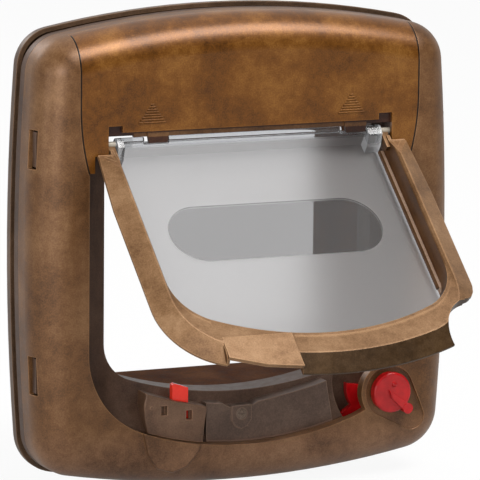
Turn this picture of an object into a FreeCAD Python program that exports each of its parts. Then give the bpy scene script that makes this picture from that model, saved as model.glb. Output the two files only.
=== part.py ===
import FreeCAD, Part
import math
import os
import Sketcher
from types import SimpleNamespace
from FreeCAD import Placement, Rotation, Vector

# Cat flap: an indoor frame with a removable hood, a clear swinging panel in a flared flap
# frame, a four-position lock, a magnet catch, a tunnel and an outdoor frame.
# X is to the right, Z is up and Y runs through the door, away from the room.
# The door's indoor face is y = 0. A depth is a distance in front of it, so y = -depth.

os.makedirs("parts", exist_ok=True)
document = FreeCAD.newDocument("CatFlap")
sheet = document.addObject("Spreadsheet::Sheet", "Sizes")


class Measure:
    """A number that keeps its formula, so that a property can be bound to it."""

    def __init__(self, value, text):
        self.value = value
        self.text = text

    def __add__(self, other):
        return joined(self, "+", other, self.value + measure(other).value)

    def __radd__(self, other):
        return measure(other) + self

    def __sub__(self, other):
        return joined(self, "-", other, self.value - measure(other).value)

    def __rsub__(self, other):
        return measure(other) - self

    def __mul__(self, other):
        return joined(self, "*", other, self.value * measure(other).value)

    def __rmul__(self, other):
        return measure(other) * self

    def __truediv__(self, other):
        return joined(self, "/", other, self.value / measure(other).value)

    def __neg__(self):
        return Measure(-self.value, "(0 - " + self.text + ")")


def measure(quantity):
    if isinstance(quantity, Measure):
        return quantity
    return Measure(float(quantity), "(" + repr(float(quantity)) + ")")


def joined(left, sign, right, value):
    return Measure(value, "(" + left.text + " " + sign + " " + measure(right).text + ")")


def root(quantity):
    return Measure(math.sqrt(quantity.value), "sqrt(" + quantity.text + ")")


def bind(thing, path, quantity):
    thing.setExpression(path, measure(quantity).text)


# Driving dimensions in millimetres, and angles in degrees
driving = {
    # Outline of the indoor frame: half sizes at the middle of each bowed side
    "half_width": 120.5,
    "half_height": 126.0,
    "side_bow": 6.2,
    "top_bow": 14.5,
    "bottom_bow": 14.0,
    "top_corner": 21.0,
    "bottom_corner": 23.0,
    # Section of the indoor frame
    "front_depth": 34.4,
    "front_round": 19.2,
    "wall": 2.5,
    "seam_depth": 6.2,
    "seam_gap": 0.3,
    "seat_gap": 0.02,
    "plate": 2.5,
    # Mouth in the front, and the narrower opening behind the flap
    "mouth_half": 91.7,
    "mouth_top": 78.0,
    "mouth_bottom": -103.8,
    "mouth_bow": 184.0,
    "mouth_corner": 46.0,
    "step_depth": 27.6,
    "opening_half": 76.8,
    "opening_top": 75.0,
    "opening_bottom": -77.8,
    "opening_bow": 200.0,
    "opening_corner": 21.0,
    "opening_depth": 17.5,
    # Tunnel
    "tunnel_half": 80.0,
    "tunnel_top": 75.6,
    "tunnel_bottom": -80.5,
    "tunnel_wall": 1.8,
    "tunnel_back": 63.0,
    "tunnel_seat": 9.4,
    "tunnel_flange": 5.0,
    # Hood
    "hood_half": 96.5,
    "hood_back": 16.5,
    "hood_edge": 66.6,
    "notch_inner": 73.3,
    "notch_outer": 81.2,
    "notch_top": 70.1,
    "lug_bottom": 54.8,
    "tail_inner": 88.7,
    "tail_bottom": 46.0,
    "hood_lip_half": 66.4,
    "hood_lip_bottom": 63.7,
    "hood_lip_top": 72.0,
    "hood_lip_thick": 1.7,
    "tooth_bottom": 60.3,
    "hood_bend": 80.0,
    "hood_sweep": 126.0,
    "rib_centre": 57.0,
    "rib_base": 71.0,
    "rib_step": 1.35,
    "rib_width": 15.0,
    "rib_height": 0.45,
    # Hinge line of the flap
    "hinge_depth": 29.6,
    "hinge_level": 60.0,
    "pin_radius": 1.6,
    "pin_reach": 86.0,
    "running_gap": 0.06,
    "open_angle": 50.0,
    # Flap frame, measured down from the hinge line and forward from it
    "crest_half": 80.2,
    "crest_drop": 150.6,
    "crest_bow": 176.0,
    "crest_corner": 36.0,
    "crest_rise": 5.0,
    "rim_half": 90.3,
    "rim_drop": 160.6,
    "rim_bow": 186.0,
    "rim_corner": 40.0,
    "rim_rise": -0.8,
    "rim_edge": 1.2,
    "rim_start": 7.6,
    "flange_half": 78.2,
    "flange_drop": 136.1,
    "flange_bow": 150.0,
    "flange_corner": 30.0,
    "flange_rise": 3.0,
    "frame_wall": 2.0,
    "frame_back": -9.0,
    "ledge_half": 75.0,
    "ledge_rise": -7.4,
    "taper_half": 87.8,
    "taper_end": 45.0,
    "relief_left": -61.0,
    "relief_right": -22.5,
    # Clear panel
    "panel_half": 75.8,
    "panel_drop": 136.0,
    "panel_bow": 190.0,
    "panel_corner": 18.0,
    "panel_rise": -9.4,
    "panel_thick": 2.5,
    "bead_radius": 1.5,
    "bead_drop": -1.16,
    "bead_rise": 1.38,
    "bead_left": -60.0,
    "bead_middle_left": -46.0,
    "bead_middle_right": 53.0,
    "bead_right": 67.6,
    "lug_radius": 3.2,
    "lug_drop": 7.2,
    "patch_half": 60.0,
    "patch_drop": 56.0,
    "patch_radius": 18.5,
    "patch_depth": 0.3,
    # Lock
    "dial_x": 82.0,
    "dial_z": -81.4,
    "dial_radius": 11.0,
    "dial_front": 38.6,
    "dial_thick": 4.6,
    "dish_radius": 14.0,
    "dish_depth": 1.5,
    "dish_tail_x": 14.0,
    "dish_tail_z": -15.0,
    "dish_tail_radius": 7.0,
    "notch_radius": 17.1,
    "notch_wide": 18.3,
    "notch_shift": 2.5,
    "notch_raise": 1.6,
    "ear_radius": 16.5,
    "lobe_radius": 27.0,
    "lobe_disc": 17.5,
    "lobe_thick": 3.8,
    "front_lobe": 28.0,
    "rear_lobe": 17.0,
    "spindle_radius": 4.0,
    "lobe_room": 0.8,
    "cam_screw": 1.2,
    # Magnet catch
    "tab_left": -41.6,
    "tab_right": -32.6,
    "tab_front": 27.4,
    "tab_back": 23.6,
    "tab_top": -69.6,
    "tab_foot": -92.0,
    "guide_gap": 0.35,
    "housing_front": 31.2,
    "housing_left": -57.8,
    "housing_top": -73.2,
    "housing_width": 34.6,
    "housing_height": 31.3,
    "housing_gap": 0.5,
    "pad_rise": 2.2,
    # Sill cover
    "sill_left": -22.2,
    "sill_right": 47.6,
    "sill_top": -74.2,
    "sill_boss_x": -2.0,
    "sill_boss_z": -88.4,
    "sill_boss": 5.7,
    "sill_screw": 1.5,
    # Snap windows in the sides of the shell
    "window_upper": 58.2,
    "window_lower": -61.2,
    "window_half": 10.2,
    "window_front": 24.0,
    "window_back": 17.2,
    "hook_gap": 1.0,
    # Outdoor frame
    "outer_half_width": 121.3,
    "outer_half_height": 128.2,
    "door_gap": 3.9,
    "outer_edge": 3.5,
    "outer_round": 8.0,
    "sleeve_gap": 0.4,
    "sleeve_back": 26.0,
    # Door screws
    "screw_x": 100.0,
    "screw_z": 75.0,
    "screw_hole": 2.3,
    "boss_radius": 5.0,
}

s = SimpleNamespace()
for row, (name, number) in enumerate(driving.items(), start=1):
    sheet.set("A" + str(row), name)
    sheet.set("B" + str(row), str(number))
    sheet.setAlias("B" + str(row), name)
    setattr(s, name, Measure(number, "Sizes." + name))
document.recompute()


# Sketch tools

def sketch(name, depth):
    """A sketch at a depth in front of the door face, with x to the right and its y up."""
    drawing = document.addObject("Sketcher::SketchObject", name)
    drawing.Placement = Placement(Vector(0, -measure(depth).value, 0), Rotation(Vector(1, 0, 0), 90))
    bind(drawing, "Placement.Base.y", -measure(depth))
    return drawing


def fix(drawing, kind, *arguments):
    """Adds one dimension, the last argument, and binds it to its formula."""
    quantity = measure(arguments[-1])
    index = drawing.addConstraint(Sketcher.Constraint(kind, *arguments[:-1], quantity.value))
    drawing.setExpression("Constraints[" + str(index) + "]", quantity.text)


def place(drawing, edge, end, x, z):
    for kind, axis, quantity in (("DistanceX", -2, measure(x)), ("DistanceY", -1, measure(z))):
        if quantity.value == 0:
            drawing.addConstraint(Sketcher.Constraint("PointOnObject", edge, end, axis))
        else:
            fix(drawing, kind, -1, 1, edge, end, quantity)


def polygon(drawing, corners):
    first = drawing.GeometryCount
    points = [Vector(measure(x).value, measure(z).value, 0) for x, z in corners]
    count = len(points)
    for start, end in zip(points, points[1:] + points[:1]):
        drawing.addGeometry(Part.LineSegment(start, end), False)
    for index in range(count):
        joint = Sketcher.Constraint("Coincident", first + index, 2, first + (index + 1) % count, 1)
        drawing.addConstraint(joint)
    for index, (x, z) in enumerate(corners):
        place(drawing, first + index, 1, x, z)


def arc_between(centre, start, end):
    """The arc of the circle about centre that runs anticlockwise from start to end."""
    radius = math.hypot(start[0] - centre[0], start[1] - centre[1])
    first = math.atan2(start[1] - centre[1], start[0] - centre[0])
    last = math.atan2(end[1] - centre[1], end[0] - centre[0])
    ring = Part.Circle(Vector(centre[0], centre[1], 0), Vector(0, 0, 1), radius)
    return Part.ArcOfCircle(ring, first, last)


def u_outline(drawing, half, top, bottom, bow, corner):
    """Straight sides, a level top, two corner arcs and a bowed bottom edge."""
    half, top, bottom, bow, corner = [measure(q) for q in (half, top, bottom, bow, corner)]
    middle = bottom.value + bow.value
    inset = half.value - corner.value
    corner_z = middle - math.sqrt((bow.value - corner.value) ** 2 - inset ** 2)
    share = bow.value / (bow.value - corner.value)
    foot = (inset * share, middle - (middle - corner_z) * share)
    left_top = Vector(-half.value, top.value, 0)
    left_end = Vector(-half.value, corner_z, 0)
    right_end = Vector(half.value, corner_z, 0)
    right_top = Vector(half.value, top.value, 0)
    first = drawing.GeometryCount
    drawing.addGeometry([
        Part.LineSegment(left_top, left_end),
        arc_between((-inset, corner_z), (left_end.x, left_end.y), (-foot[0], foot[1])),
        arc_between((0, middle), (-foot[0], foot[1]), foot),
        arc_between((inset, corner_z), foot, (right_end.x, right_end.y)),
        Part.LineSegment(right_end, right_top),
        Part.LineSegment(right_top, left_top),
    ], False)
    side, left_arc, bow_arc, right_arc, far_side, lid = range(first, first + 6)
    drawing.addConstraint([
        Sketcher.Constraint("Tangent", side, 2, left_arc, 1),
        Sketcher.Constraint("Tangent", left_arc, 2, bow_arc, 1),
        Sketcher.Constraint("Tangent", bow_arc, 2, right_arc, 1),
        Sketcher.Constraint("Tangent", right_arc, 2, far_side, 1),
        Sketcher.Constraint("Coincident", far_side, 2, lid, 1),
        Sketcher.Constraint("Coincident", lid, 2, side, 1),
        Sketcher.Constraint("Vertical", side),
        Sketcher.Constraint("Vertical", far_side),
    ])
    place(drawing, bow_arc, 3, 0, bottom + bow)
    fix(drawing, "Radius", bow_arc, bow)
    fix(drawing, "Radius", left_arc, corner)
    fix(drawing, "Radius", right_arc, corner)
    place(drawing, side, 1, -half, top)
    place(drawing, far_side, 2, half, top)


def bowed_outline(drawing, half_width, half_height, inset):
    """Four gently bowed sides with rounded corners, inset all round."""
    inset = measure(inset)
    side = (half_height * half_height + s.side_bow * s.side_bow) / (2 * s.side_bow)
    upper = (half_width * half_width + s.top_bow * s.top_bow) / (2 * s.top_bow)
    lower = (half_width * half_width + s.bottom_bow * s.bottom_bow) / (2 * s.bottom_bow)
    centres = {
        "right": (half_width - side, measure(0)),
        "top": (measure(0), half_height - upper),
        "left": (side - half_width, measure(0)),
        "bottom": (measure(0), lower - half_height),
    }
    radii = {"right": side, "top": upper, "left": side, "bottom": lower}
    order = ["right", "top", "left", "bottom"]
    corners = [s.top_corner, s.top_corner, s.bottom_corner, s.bottom_corner]
    tangents = []
    for index, corner in enumerate(corners):
        here, after = order[index], order[(index + 1) % 4]
        a = [q.value for q in centres[here]]
        b = [q.value for q in centres[after]]
        near = radii[here].value - corner.value
        far = radii[after].value - corner.value
        gap = math.hypot(b[0] - a[0], b[1] - a[1])
        along = (near ** 2 - far ** 2 + gap ** 2) / (2 * gap)
        across = math.sqrt(near ** 2 - along ** 2)
        step = ((b[0] - a[0]) / gap, (b[1] - a[1]) / gap)
        foot = (a[0] + step[0] * along, a[1] + step[1] * along)
        options = [(foot[0] + sign * across * step[1], foot[1] - sign * across * step[0])
                   for sign in (1, -1)]
        middle = min(options, key=lambda point: math.hypot(*point))
        ends = []
        for base, reach in ((a, near), (b, far)):
            scale = (reach + corner.value - inset.value) / reach
            ends.append((base[0] + (middle[0] - base[0]) * scale, base[1] + (middle[1] - base[1]) * scale))
        tangents.append((middle, ends[0], ends[1]))
    first = drawing.GeometryCount
    pieces = []
    for index in range(4):
        centre = [q.value for q in centres[order[index]]]
        pieces.append(arc_between(centre, tangents[index - 1][2], tangents[index][1]))
        pieces.append(arc_between(tangents[index][0], tangents[index][1], tangents[index][2]))
    drawing.addGeometry(pieces, False)
    links = [Sketcher.Constraint("Tangent", first + i, 2, first + (i + 1) % 8, 1) for i in range(8)]
    drawing.addConstraint(links)
    for index in range(4):
        edge = first + 2 * index
        place(drawing, edge, 3, *centres[order[index]])
        fix(drawing, "Radius", edge, radii[order[index]] - inset)
        fix(drawing, "Radius", edge + 1, corners[index] - inset)


def side_reach(level):
    """Half width of the indoor frame's bowed outline at a level."""
    level = measure(level)
    bow = (s.half_height * s.half_height + s.side_bow * s.side_bow) / (2 * s.side_bow)
    return s.half_width - bow + root(bow * bow - level * level)


# Solid tools

def extrude(name, drawing, length):
    """A solid that runs from the sketch towards the door and beyond."""
    solid = document.addObject("Part::Extrusion", name)
    solid.Base = drawing
    solid.DirMode = "Custom"
    solid.Dir = Vector(0, 1, 0)
    solid.Solid = True
    bind(solid, "LengthFwd", length)
    return solid


def u_slab(name, front, back, half, top, bottom, bow, corner):
    drawing = sketch(name + "_outline", front)
    u_outline(drawing, half, top, bottom, bow, corner)
    return extrude(name, drawing, measure(front) - back)


def bowed_slab(name, front, back, half_width, half_height, inset):
    drawing = sketch(name + "_outline", front)
    bowed_outline(drawing, half_width, half_height, inset)
    return extrude(name, drawing, measure(front) - back)


def polygon_slab(name, front, back, corners):
    drawing = sketch(name + "_outline", front)
    polygon(drawing, corners)
    return extrude(name, drawing, measure(front) - back)


def side_slab(name, left, right, corners):
    """A solid along X whose corners are given as depth and level in the side view."""
    drawing = document.addObject("Sketcher::SketchObject", name + "_outline")
    drawing.Placement = Placement(Vector(measure(left).value, 0, 0), Rotation(Vector(1, 1, 1), 120))
    bind(drawing, "Placement.Base.x", left)
    polygon(drawing, [(-measure(depth), level) for depth, level in corners])
    solid = document.addObject("Part::Extrusion", name)
    solid.Base = drawing
    solid.DirMode = "Custom"
    solid.Dir = Vector(1, 0, 0)
    solid.Solid = True
    bind(solid, "LengthFwd", measure(right) - left)
    return solid


def teardrop(name, front, back, radius, tail_radius):
    """A round pocket about the lock with a smaller round tail."""
    length = root(s.dish_tail_x * s.dish_tail_x + s.dish_tail_z * s.dish_tail_z)
    along = (s.dish_tail_x / length, s.dish_tail_z / length)
    lean = (radius - tail_radius) / length
    upright = root(1 - lean * lean)
    tail_x = s.dial_x + s.dish_tail_x
    tail_z = s.dial_z + s.dish_tail_z
    corners = []
    for sign, order in ((1, (0, 1)), (-1, (1, 0))):
        out_x = along[0] * lean - along[1] * upright * sign
        out_z = along[1] * lean + along[0] * upright * sign
        ends = [(s.dial_x + radius * out_x, s.dial_z + radius * out_z),
                (tail_x + tail_radius * out_x, tail_z + tail_radius * out_z)]
        corners += [ends[index] for index in order]
    sides = polygon_slab(name + "_sides", front, back, corners)
    head = pillar(name + "_head", radius, s.dial_x, s.dial_z, front, back)
    tail = pillar(name + "_tail", tail_radius, tail_x, tail_z, front, back)
    return fused(name, [sides, head, tail])


def box(name, left, right, front, back, bottom, top):
    solid = document.addObject("Part::Box", name)
    bind(solid, "Length", measure(right) - left)
    bind(solid, "Width", measure(front) - back)
    bind(solid, "Height", measure(top) - bottom)
    bind(solid, "Placement.Base.x", left)
    bind(solid, "Placement.Base.y", -measure(front))
    bind(solid, "Placement.Base.z", bottom)
    return solid


def pillar(name, radius, x, z, front, back):
    """A cylinder along Y."""
    solid = document.addObject("Part::Cylinder", name)
    solid.Placement = Placement(Vector(), Rotation(Vector(1, 0, 0), -90))
    bind(solid, "Radius", radius)
    bind(solid, "Height", measure(front) - back)
    bind(solid, "Placement.Base.x", x)
    bind(solid, "Placement.Base.y", -measure(front))
    bind(solid, "Placement.Base.z", z)
    return solid


def rod(name, radius, left, right, depth, level):
    """A cylinder along X."""
    solid = document.addObject("Part::Cylinder", name)
    solid.Placement = Placement(Vector(), Rotation(Vector(0, 1, 0), 90))
    bind(solid, "Radius", radius)
    bind(solid, "Height", measure(right) - left)
    bind(solid, "Placement.Base.x", left)
    bind(solid, "Placement.Base.y", -measure(depth))
    bind(solid, "Placement.Base.z", level)
    return solid


def loft(name, drawings):
    solid = document.addObject("Part::Loft", name)
    solid.Sections = drawings
    solid.Solid = True
    solid.Ruled = True
    return solid


def fused(name, solids):
    result = document.addObject("Part::MultiFuse", name)
    result.Shapes = solids
    result.Refine = True
    return result


def cut(name, base, tool):
    result = document.addObject("Part::Cut", name)
    result.Base = base
    result.Tool = tool
    return result


def shared(name, solids):
    result = document.addObject("Part::MultiCommon", name)
    result.Shapes = solids
    return result


def rounded(name, base, radius, chosen):
    """Fillets the edges for which chosen is true."""
    document.recompute()
    result = document.addObject("Part::Fillet", name)
    result.Base = base
    value = measure(radius).value
    edges = enumerate(base.Shape.Edges, start=1)
    result.Edges = [(index, value, value) for index, edge in edges if chosen(edge)]
    return result


def lies_at(edge, depth):
    return abs(edge.BoundBox.YMin + depth) < 0.01 and abs(edge.BoundBox.YMax + depth) < 0.01


def on_side(sign, inner, outer):
    """Left and right limits of a piece that lies between two distances from the middle."""
    inner = measure(inner)
    outer = measure(outer)
    return (inner, outer) if sign > 0 else (-outer, -inner)


nodes = {}


def node(name, solid):
    solid.Label = name
    nodes[name] = solid
    return solid


def swung(solid):
    """Turns a piece of the flap from hanging straight down to its open rest position."""
    hinge = Vector(0, -s.hinge_depth.value, s.hinge_level.value)
    solid.Placement = Placement(Vector(), Rotation(Vector(1, 0, 0), -s.open_angle.value), hinge)
    return solid


def flap_depth(rise):
    return s.hinge_depth + rise


def flap_level(drop):
    return s.hinge_level - drop


# Indoor cover: the form that the front shell and the hood share

def cover_form(name):
    """The hollow moulded cover with its large front round, open at the back."""
    skin = bowed_slab(name + "_skin", s.front_depth, s.seam_depth, s.half_width, s.half_height, 0)
    depth = s.front_depth.value
    skin = rounded(name + "_round", skin, s.front_round, lambda edge: lies_at(edge, depth))
    inner_depth = s.front_depth - s.wall
    hollow = bowed_slab(name + "_hollow", inner_depth, 0, s.half_width, s.half_height, s.wall)
    inner = inner_depth.value
    hollow_round = s.front_round - s.wall
    hollow = rounded(name + "_hollow_round", hollow, hollow_round, lambda edge: lies_at(edge, inner))
    return cut(name + "_form", skin, hollow)


def hood_profile(drawing, grow):
    """The hood's outline in the front view, grown by the seam gap for the shell's recess."""
    top = s.half_height + s.wall * 4
    half = s.hood_half + grow
    sweep = s.hood_sweep + grow
    drop = s.hood_bend - s.tail_bottom + grow
    tail_x = half - sweep + root(sweep * sweep - drop * drop)
    tail_z = s.hood_bend - drop
    first = drawing.GeometryCount
    lower = [
        (s.tail_inner - grow, tail_z),
        (s.tail_inner - grow, s.lug_bottom - grow),
        (s.notch_outer - grow, s.lug_bottom - grow),
        (s.notch_outer - grow, s.notch_top),
        (s.notch_inner, s.notch_top),
        (s.notch_inner, s.hood_edge - grow),
    ]
    walk = [(half, s.hood_bend), (half, top), (-half, top), (-half, s.hood_bend)]
    walk += [(-x, z) for x, z in [(tail_x, tail_z)] + lower]
    walk += [(x, z) for x, z in reversed(lower)] + [(tail_x, tail_z)]
    points = [Vector(measure(x).value, measure(z).value, 0) for x, z in walk]
    count = len(points)
    left_arc, right_arc = 3, count - 1
    centre_x = (half - sweep).value
    for index in range(count):
        start, end = points[index], points[(index + 1) % count]
        if index == left_arc:
            piece = arc_between((-centre_x, s.hood_bend.value), (start.x, start.y), (end.x, end.y))
        elif index == right_arc:
            piece = arc_between((centre_x, s.hood_bend.value), (start.x, start.y), (end.x, end.y))
        else:
            piece = Part.LineSegment(start, end)
        drawing.addGeometry(piece, False)
    for index in range(count):
        joint = Sketcher.Constraint("Coincident", first + index, 2, first + (index + 1) % count, 1)
        drawing.addConstraint(joint)
    for index, (x, z) in enumerate(walk):
        place(drawing, first + index, 1, x, z)
    fix(drawing, "Radius", first + left_arc, sweep)
    fix(drawing, "Radius", first + right_arc, sweep)


def mouth_void(name, gap):
    """The flared space between the mouth and the narrower opening behind it."""
    front = sketch(name + "_front", s.step_depth)
    u_outline(front, s.mouth_half - gap, s.mouth_top - gap, s.mouth_bottom + gap,
              s.mouth_bow - gap, s.mouth_corner - gap)
    back = sketch(name + "_back", s.opening_depth)
    u_outline(back, s.opening_half - gap, s.opening_top - gap, s.opening_bottom + gap,
              s.opening_bow - gap, s.opening_corner - gap)
    return loft(name, [front, back])


def housing_corners():
    """Front outline of the catch housing: its top edge falls to the right, its sides lean in."""
    shape = [(0, 0), (-0.045, -0.22), (-0.025, -0.47), (0.04, -0.80), (0.925, -1.0), (0.965, -0.60),
             (1.0, -0.33), (0.965, -0.28), (0.50, -0.17)]
    return [(s.housing_left + s.housing_width * x, s.housing_top + s.housing_height * z) for x, z in shape]


def pad_corners():
    """The swelling below the lip that carries on the outline of the catch housing."""
    shape = [(-0.12, -0.60), (-0.02, -1.03), (0.14, -1.28), (0.38, -1.36), (0.62, -1.28), (0.80, -1.06),
             (0.90, -0.80)]
    return [(s.housing_left + s.housing_width * x, s.housing_top + s.housing_height * z) for x, z in shape]


def front_shell():
    form = cover_form("shell")
    # The jamb runs back from the mouth's edge to the step
    jamb_outside = u_slab("jamb_outside", s.front_depth - s.wall, s.step_depth, s.mouth_half + s.wall,
                          s.mouth_top + s.wall, s.mouth_bottom - s.wall, s.mouth_bow + s.wall,
                          s.mouth_corner + s.wall)
    ear = pillar("ear", s.ear_radius, s.dial_x, s.dial_z, s.front_depth - s.wall, s.step_depth + 3)
    pad = polygon_slab("pad", s.front_depth + s.pad_rise, s.front_depth - s.wall, pad_corners())
    pad_front = (s.front_depth + s.pad_rise).value
    pad = rounded("pad_round", pad, s.pad_rise * 0.7, lambda edge: lies_at(edge, pad_front))
    body = fused("shell_body", [form, jamb_outside, ear, pad])
    # The mouth goes right through, all but the ear that carries the lock
    mouth = u_slab("mouth", s.front_depth + 5, 5, s.mouth_half, s.mouth_top, s.mouth_bottom,
                   s.mouth_bow, s.mouth_corner)
    ear_keep = pillar("ear_keep", s.ear_radius, s.dial_x, s.dial_z, s.front_depth + 6, 4)
    mouth = cut("mouth_cut", mouth, ear_keep)
    recess = sketch("hood_recess_outline", s.front_depth + 5)
    hood_profile(recess, s.seam_gap)
    recess = extrude("hood_recess", recess, s.front_depth + 5 - s.hood_back + s.seam_gap)
    spindle_hole = pillar("spindle_hole", s.spindle_radius + s.running_gap, s.dial_x, s.dial_z,
                          s.front_depth + 5, 5)
    dish = teardrop("dish", s.front_depth + s.wall * 2, s.front_depth - s.dish_depth, s.dish_radius,
                    s.dish_tail_radius)
    lobe_room = pillar("shell_lobe_room", s.lobe_radius + s.lobe_room, s.dial_x, s.dial_z,
                       s.front_lobe + s.lobe_room, 5)
    tools = [mouth, recess, spindle_hole, dish, lobe_room]
    # Windows in both sides, where the base plate's hooks snap in
    for side, sign in (("left", -1), ("right", 1)):
        for place_name, level in (("upper", s.window_upper), ("lower", s.window_lower)):
            name = "window_" + side + "_" + place_name
            reach = side_reach(level)
            near, far = on_side(sign, reach - s.wall * 4, reach + s.wall)
            tools.append(box(name, near, far, s.window_front, s.window_back, level - s.window_half,
                             level + s.window_half))
    node("front_shell", cut("front_shell_solid", body, fused("shell_tools", tools)))


def hood_cover():
    form = cover_form("hood")
    profile = sketch("hood_keep_outline", s.front_depth + 5)
    hood_profile(profile, 0)
    keep = extrude("hood_keep", profile, s.front_depth + 5 - s.hood_back)
    body = shared("hood_body", [form, keep])
    # The lip behind the lower edge, and two arrow-shaped patches of fine grip ribs
    inner = s.front_depth - s.wall
    lip = box("hood_lip", -s.hood_lip_half, s.hood_lip_half, inner + s.wall / 10, inner - s.hood_lip_thick,
              s.hood_lip_bottom, s.hood_edge + s.wall)
    wings = box("hood_lip_wings", -s.notch_outer, s.notch_outer, inner + s.wall / 10,
                inner - s.hood_lip_thick, s.hinge_level + s.pin_radius + 3, s.hood_lip_top)
    ribs = [body, lip, wings]
    # Two teeth fill the gaps between the beads of the clear panel
    for side, near, far in (("left", s.bead_left, s.bead_middle_left),
                            ("right", s.bead_middle_right, s.bead_right)):
        ribs.append(polygon_slab("hood_tooth_" + side, inner + s.wall * 0.6, inner - s.seam_gap, [
            (near + s.seam_gap * 2, s.hood_edge + s.seam_gap), (near + s.seam_gap * 6, s.tooth_bottom),
            (far - s.seam_gap * 6, s.tooth_bottom), (far - s.seam_gap * 2, s.hood_edge + s.seam_gap)]))
    for side, sign in (("left", -1), ("right", 1)):
        for index in range(8):
            half = s.rib_width * (8 - index) / 16
            level = s.rib_base + s.rib_step * index
            centre = s.rib_centre * sign
            name = "rib_" + side + "_" + str(index)
            ribs.append(box(name, centre - half, centre + half, s.front_depth + s.rib_height,
                            s.front_depth - 0.5, level, level + s.rib_step / 3))
    node("hood_cover", fused("hood_cover_solid", ribs))


def base_plate():
    rim = bowed_slab("base_rim", s.seam_depth - s.seam_gap, 0, s.half_width, s.half_height, 0)
    tray = bowed_slab("base_tray", s.seam_depth + 5, s.plate, s.half_width, s.half_height, s.wall)
    tray = cut("base_tray_rim", rim, tray)
    grow = s.wall - s.seam_gap
    well = u_slab("well", s.step_depth - s.seam_gap, 0, s.mouth_half + grow, s.mouth_top + grow,
                  s.mouth_bottom - grow, s.mouth_bow + grow, s.mouth_corner + grow)
    side = s.tunnel_half + s.tunnel_wall + s.tunnel_flange + s.seam_gap + s.wall
    low = s.tunnel_bottom - s.tunnel_wall - s.tunnel_flange - s.seam_gap - s.wall
    seat = box("well_seat", -side, side, s.tunnel_seat + s.wall, 0, low, s.mouth_top)
    pieces = [tray, well, seat]
    for name_side, sign in (("left", -1), ("right", 1)):
        for place_name, level in (("upper", s.window_upper), ("lower", s.window_lower)):
            name = "hook_" + name_side + "_" + place_name
            reach = side_reach(level)
            low_end = level - s.window_half + s.hook_gap
            high_end = level + s.window_half - s.hook_gap
            front = s.window_front - s.hook_gap
            near, far = on_side(sign, reach - s.wall * 3.2, reach - s.wall * 2.1)
            arm = box(name + "_arm", near, far, front, s.plate / 2, low_end, high_end)
            near, far = on_side(sign, reach - s.wall * 2.2, reach - s.wall * 0.8)
            nose = box(name + "_nose", near, far, front, s.window_back + s.hook_gap, low_end, high_end)
            pieces += [arm, nose]
    for x in (-1, 1):
        for z in (-1, 1):
            name = "base_boss_" + str(x) + str(z)
            pieces.append(pillar(name, s.boss_radius, s.screw_x * x, s.screw_z * z, 7, 0))
    bearing_foot = pillar("cam_boss", s.spindle_radius + 3, s.dial_x, s.dial_z,
                          s.rear_lobe - s.lobe_thick - 0.6, 0)
    pieces.append(bearing_foot)
    body = fused("base_body", pieces)
    void = mouth_void("mouth_flare", measure(0))
    opening = u_slab("opening", s.opening_depth + 0.01, -5, s.opening_half, s.opening_top,
                     s.opening_bottom, s.opening_bow, s.opening_corner)
    # Behind the step the walls are hollow, and the tunnel's flange seats in there
    side = s.tunnel_half + s.tunnel_wall + s.tunnel_flange + s.seam_gap
    low = s.tunnel_bottom - s.tunnel_wall - s.tunnel_flange - s.seam_gap
    high = s.tunnel_top + s.tunnel_wall + s.seam_gap
    hollow = box("well_hollow", -side, side, s.tunnel_seat, -5, low, high)
    collar = u_slab("collar", s.tunnel_seat + 1, -6, s.opening_half + s.frame_wall,
                    s.opening_top + 0.3, s.opening_bottom - s.frame_wall,
                    s.opening_bow + s.frame_wall, s.opening_corner + s.frame_wall)
    collar_end = box("collar_end", -150, 150, 1, -8, -150, 150)
    collar = cut("collar_cut", collar, collar_end)
    cam_keep = pillar("cam_boss_keep", s.spindle_radius + 3, s.dial_x, s.dial_z, 20, -7)
    hollow = cut("well_hollow_cut", hollow, fused("hollow_keep", [collar, cam_keep]))
    lobe_room = pillar("lobe_room", s.lobe_radius + s.lobe_room, s.dial_x, s.dial_z,
                       s.front_depth, s.rear_lobe - s.lobe_thick - s.lobe_room)
    tools = [void, opening, hollow, lobe_room]
    tools.append(pillar("cam_bore", s.spindle_radius - 1 + s.running_gap, s.dial_x, s.dial_z, 20, -5))
    for x in (-1, 1):
        for z in (-1, 1):
            name = "base_hole_" + str(x) + str(z)
            tools.append(pillar(name, s.screw_hole, s.screw_x * x, s.screw_z * z, 12, -5))
    tab_room = box("tab_room", s.tab_left - s.guide_gap, s.tab_right + s.guide_gap,
                   s.tab_front + s.guide_gap, s.tab_back - s.guide_gap, s.tab_foot - 1, -70)
    tools.append(tab_room)
    node("base_plate", cut("base_plate_solid", body, fused("base_tools", tools)))


def tunnel_liner():
    half = s.tunnel_half + s.tunnel_wall
    low = s.tunnel_bottom - s.tunnel_wall
    high = s.tunnel_top + s.tunnel_wall
    seat = s.tunnel_seat
    tube = box("tunnel_tube", -half, half, seat, -s.tunnel_back, low, high)
    flange = box("tunnel_flange_plate", -half - s.tunnel_flange, half + s.tunnel_flange, seat, seat - 2,
                 low - s.tunnel_flange, high)
    body = fused("tunnel_body", [tube, flange])
    passage = box("tunnel_passage", -s.tunnel_half, s.tunnel_half, seat + 5, -s.tunnel_back - 5,
                  s.tunnel_bottom, s.tunnel_top)
    clear = pillar("tunnel_lobe_room", s.spindle_radius + 5.5, s.dial_x, s.dial_z, seat + 5, -1)
    node("tunnel_liner", cut("tunnel_liner_solid", body, fused("tunnel_tools", [passage, clear])))


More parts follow.
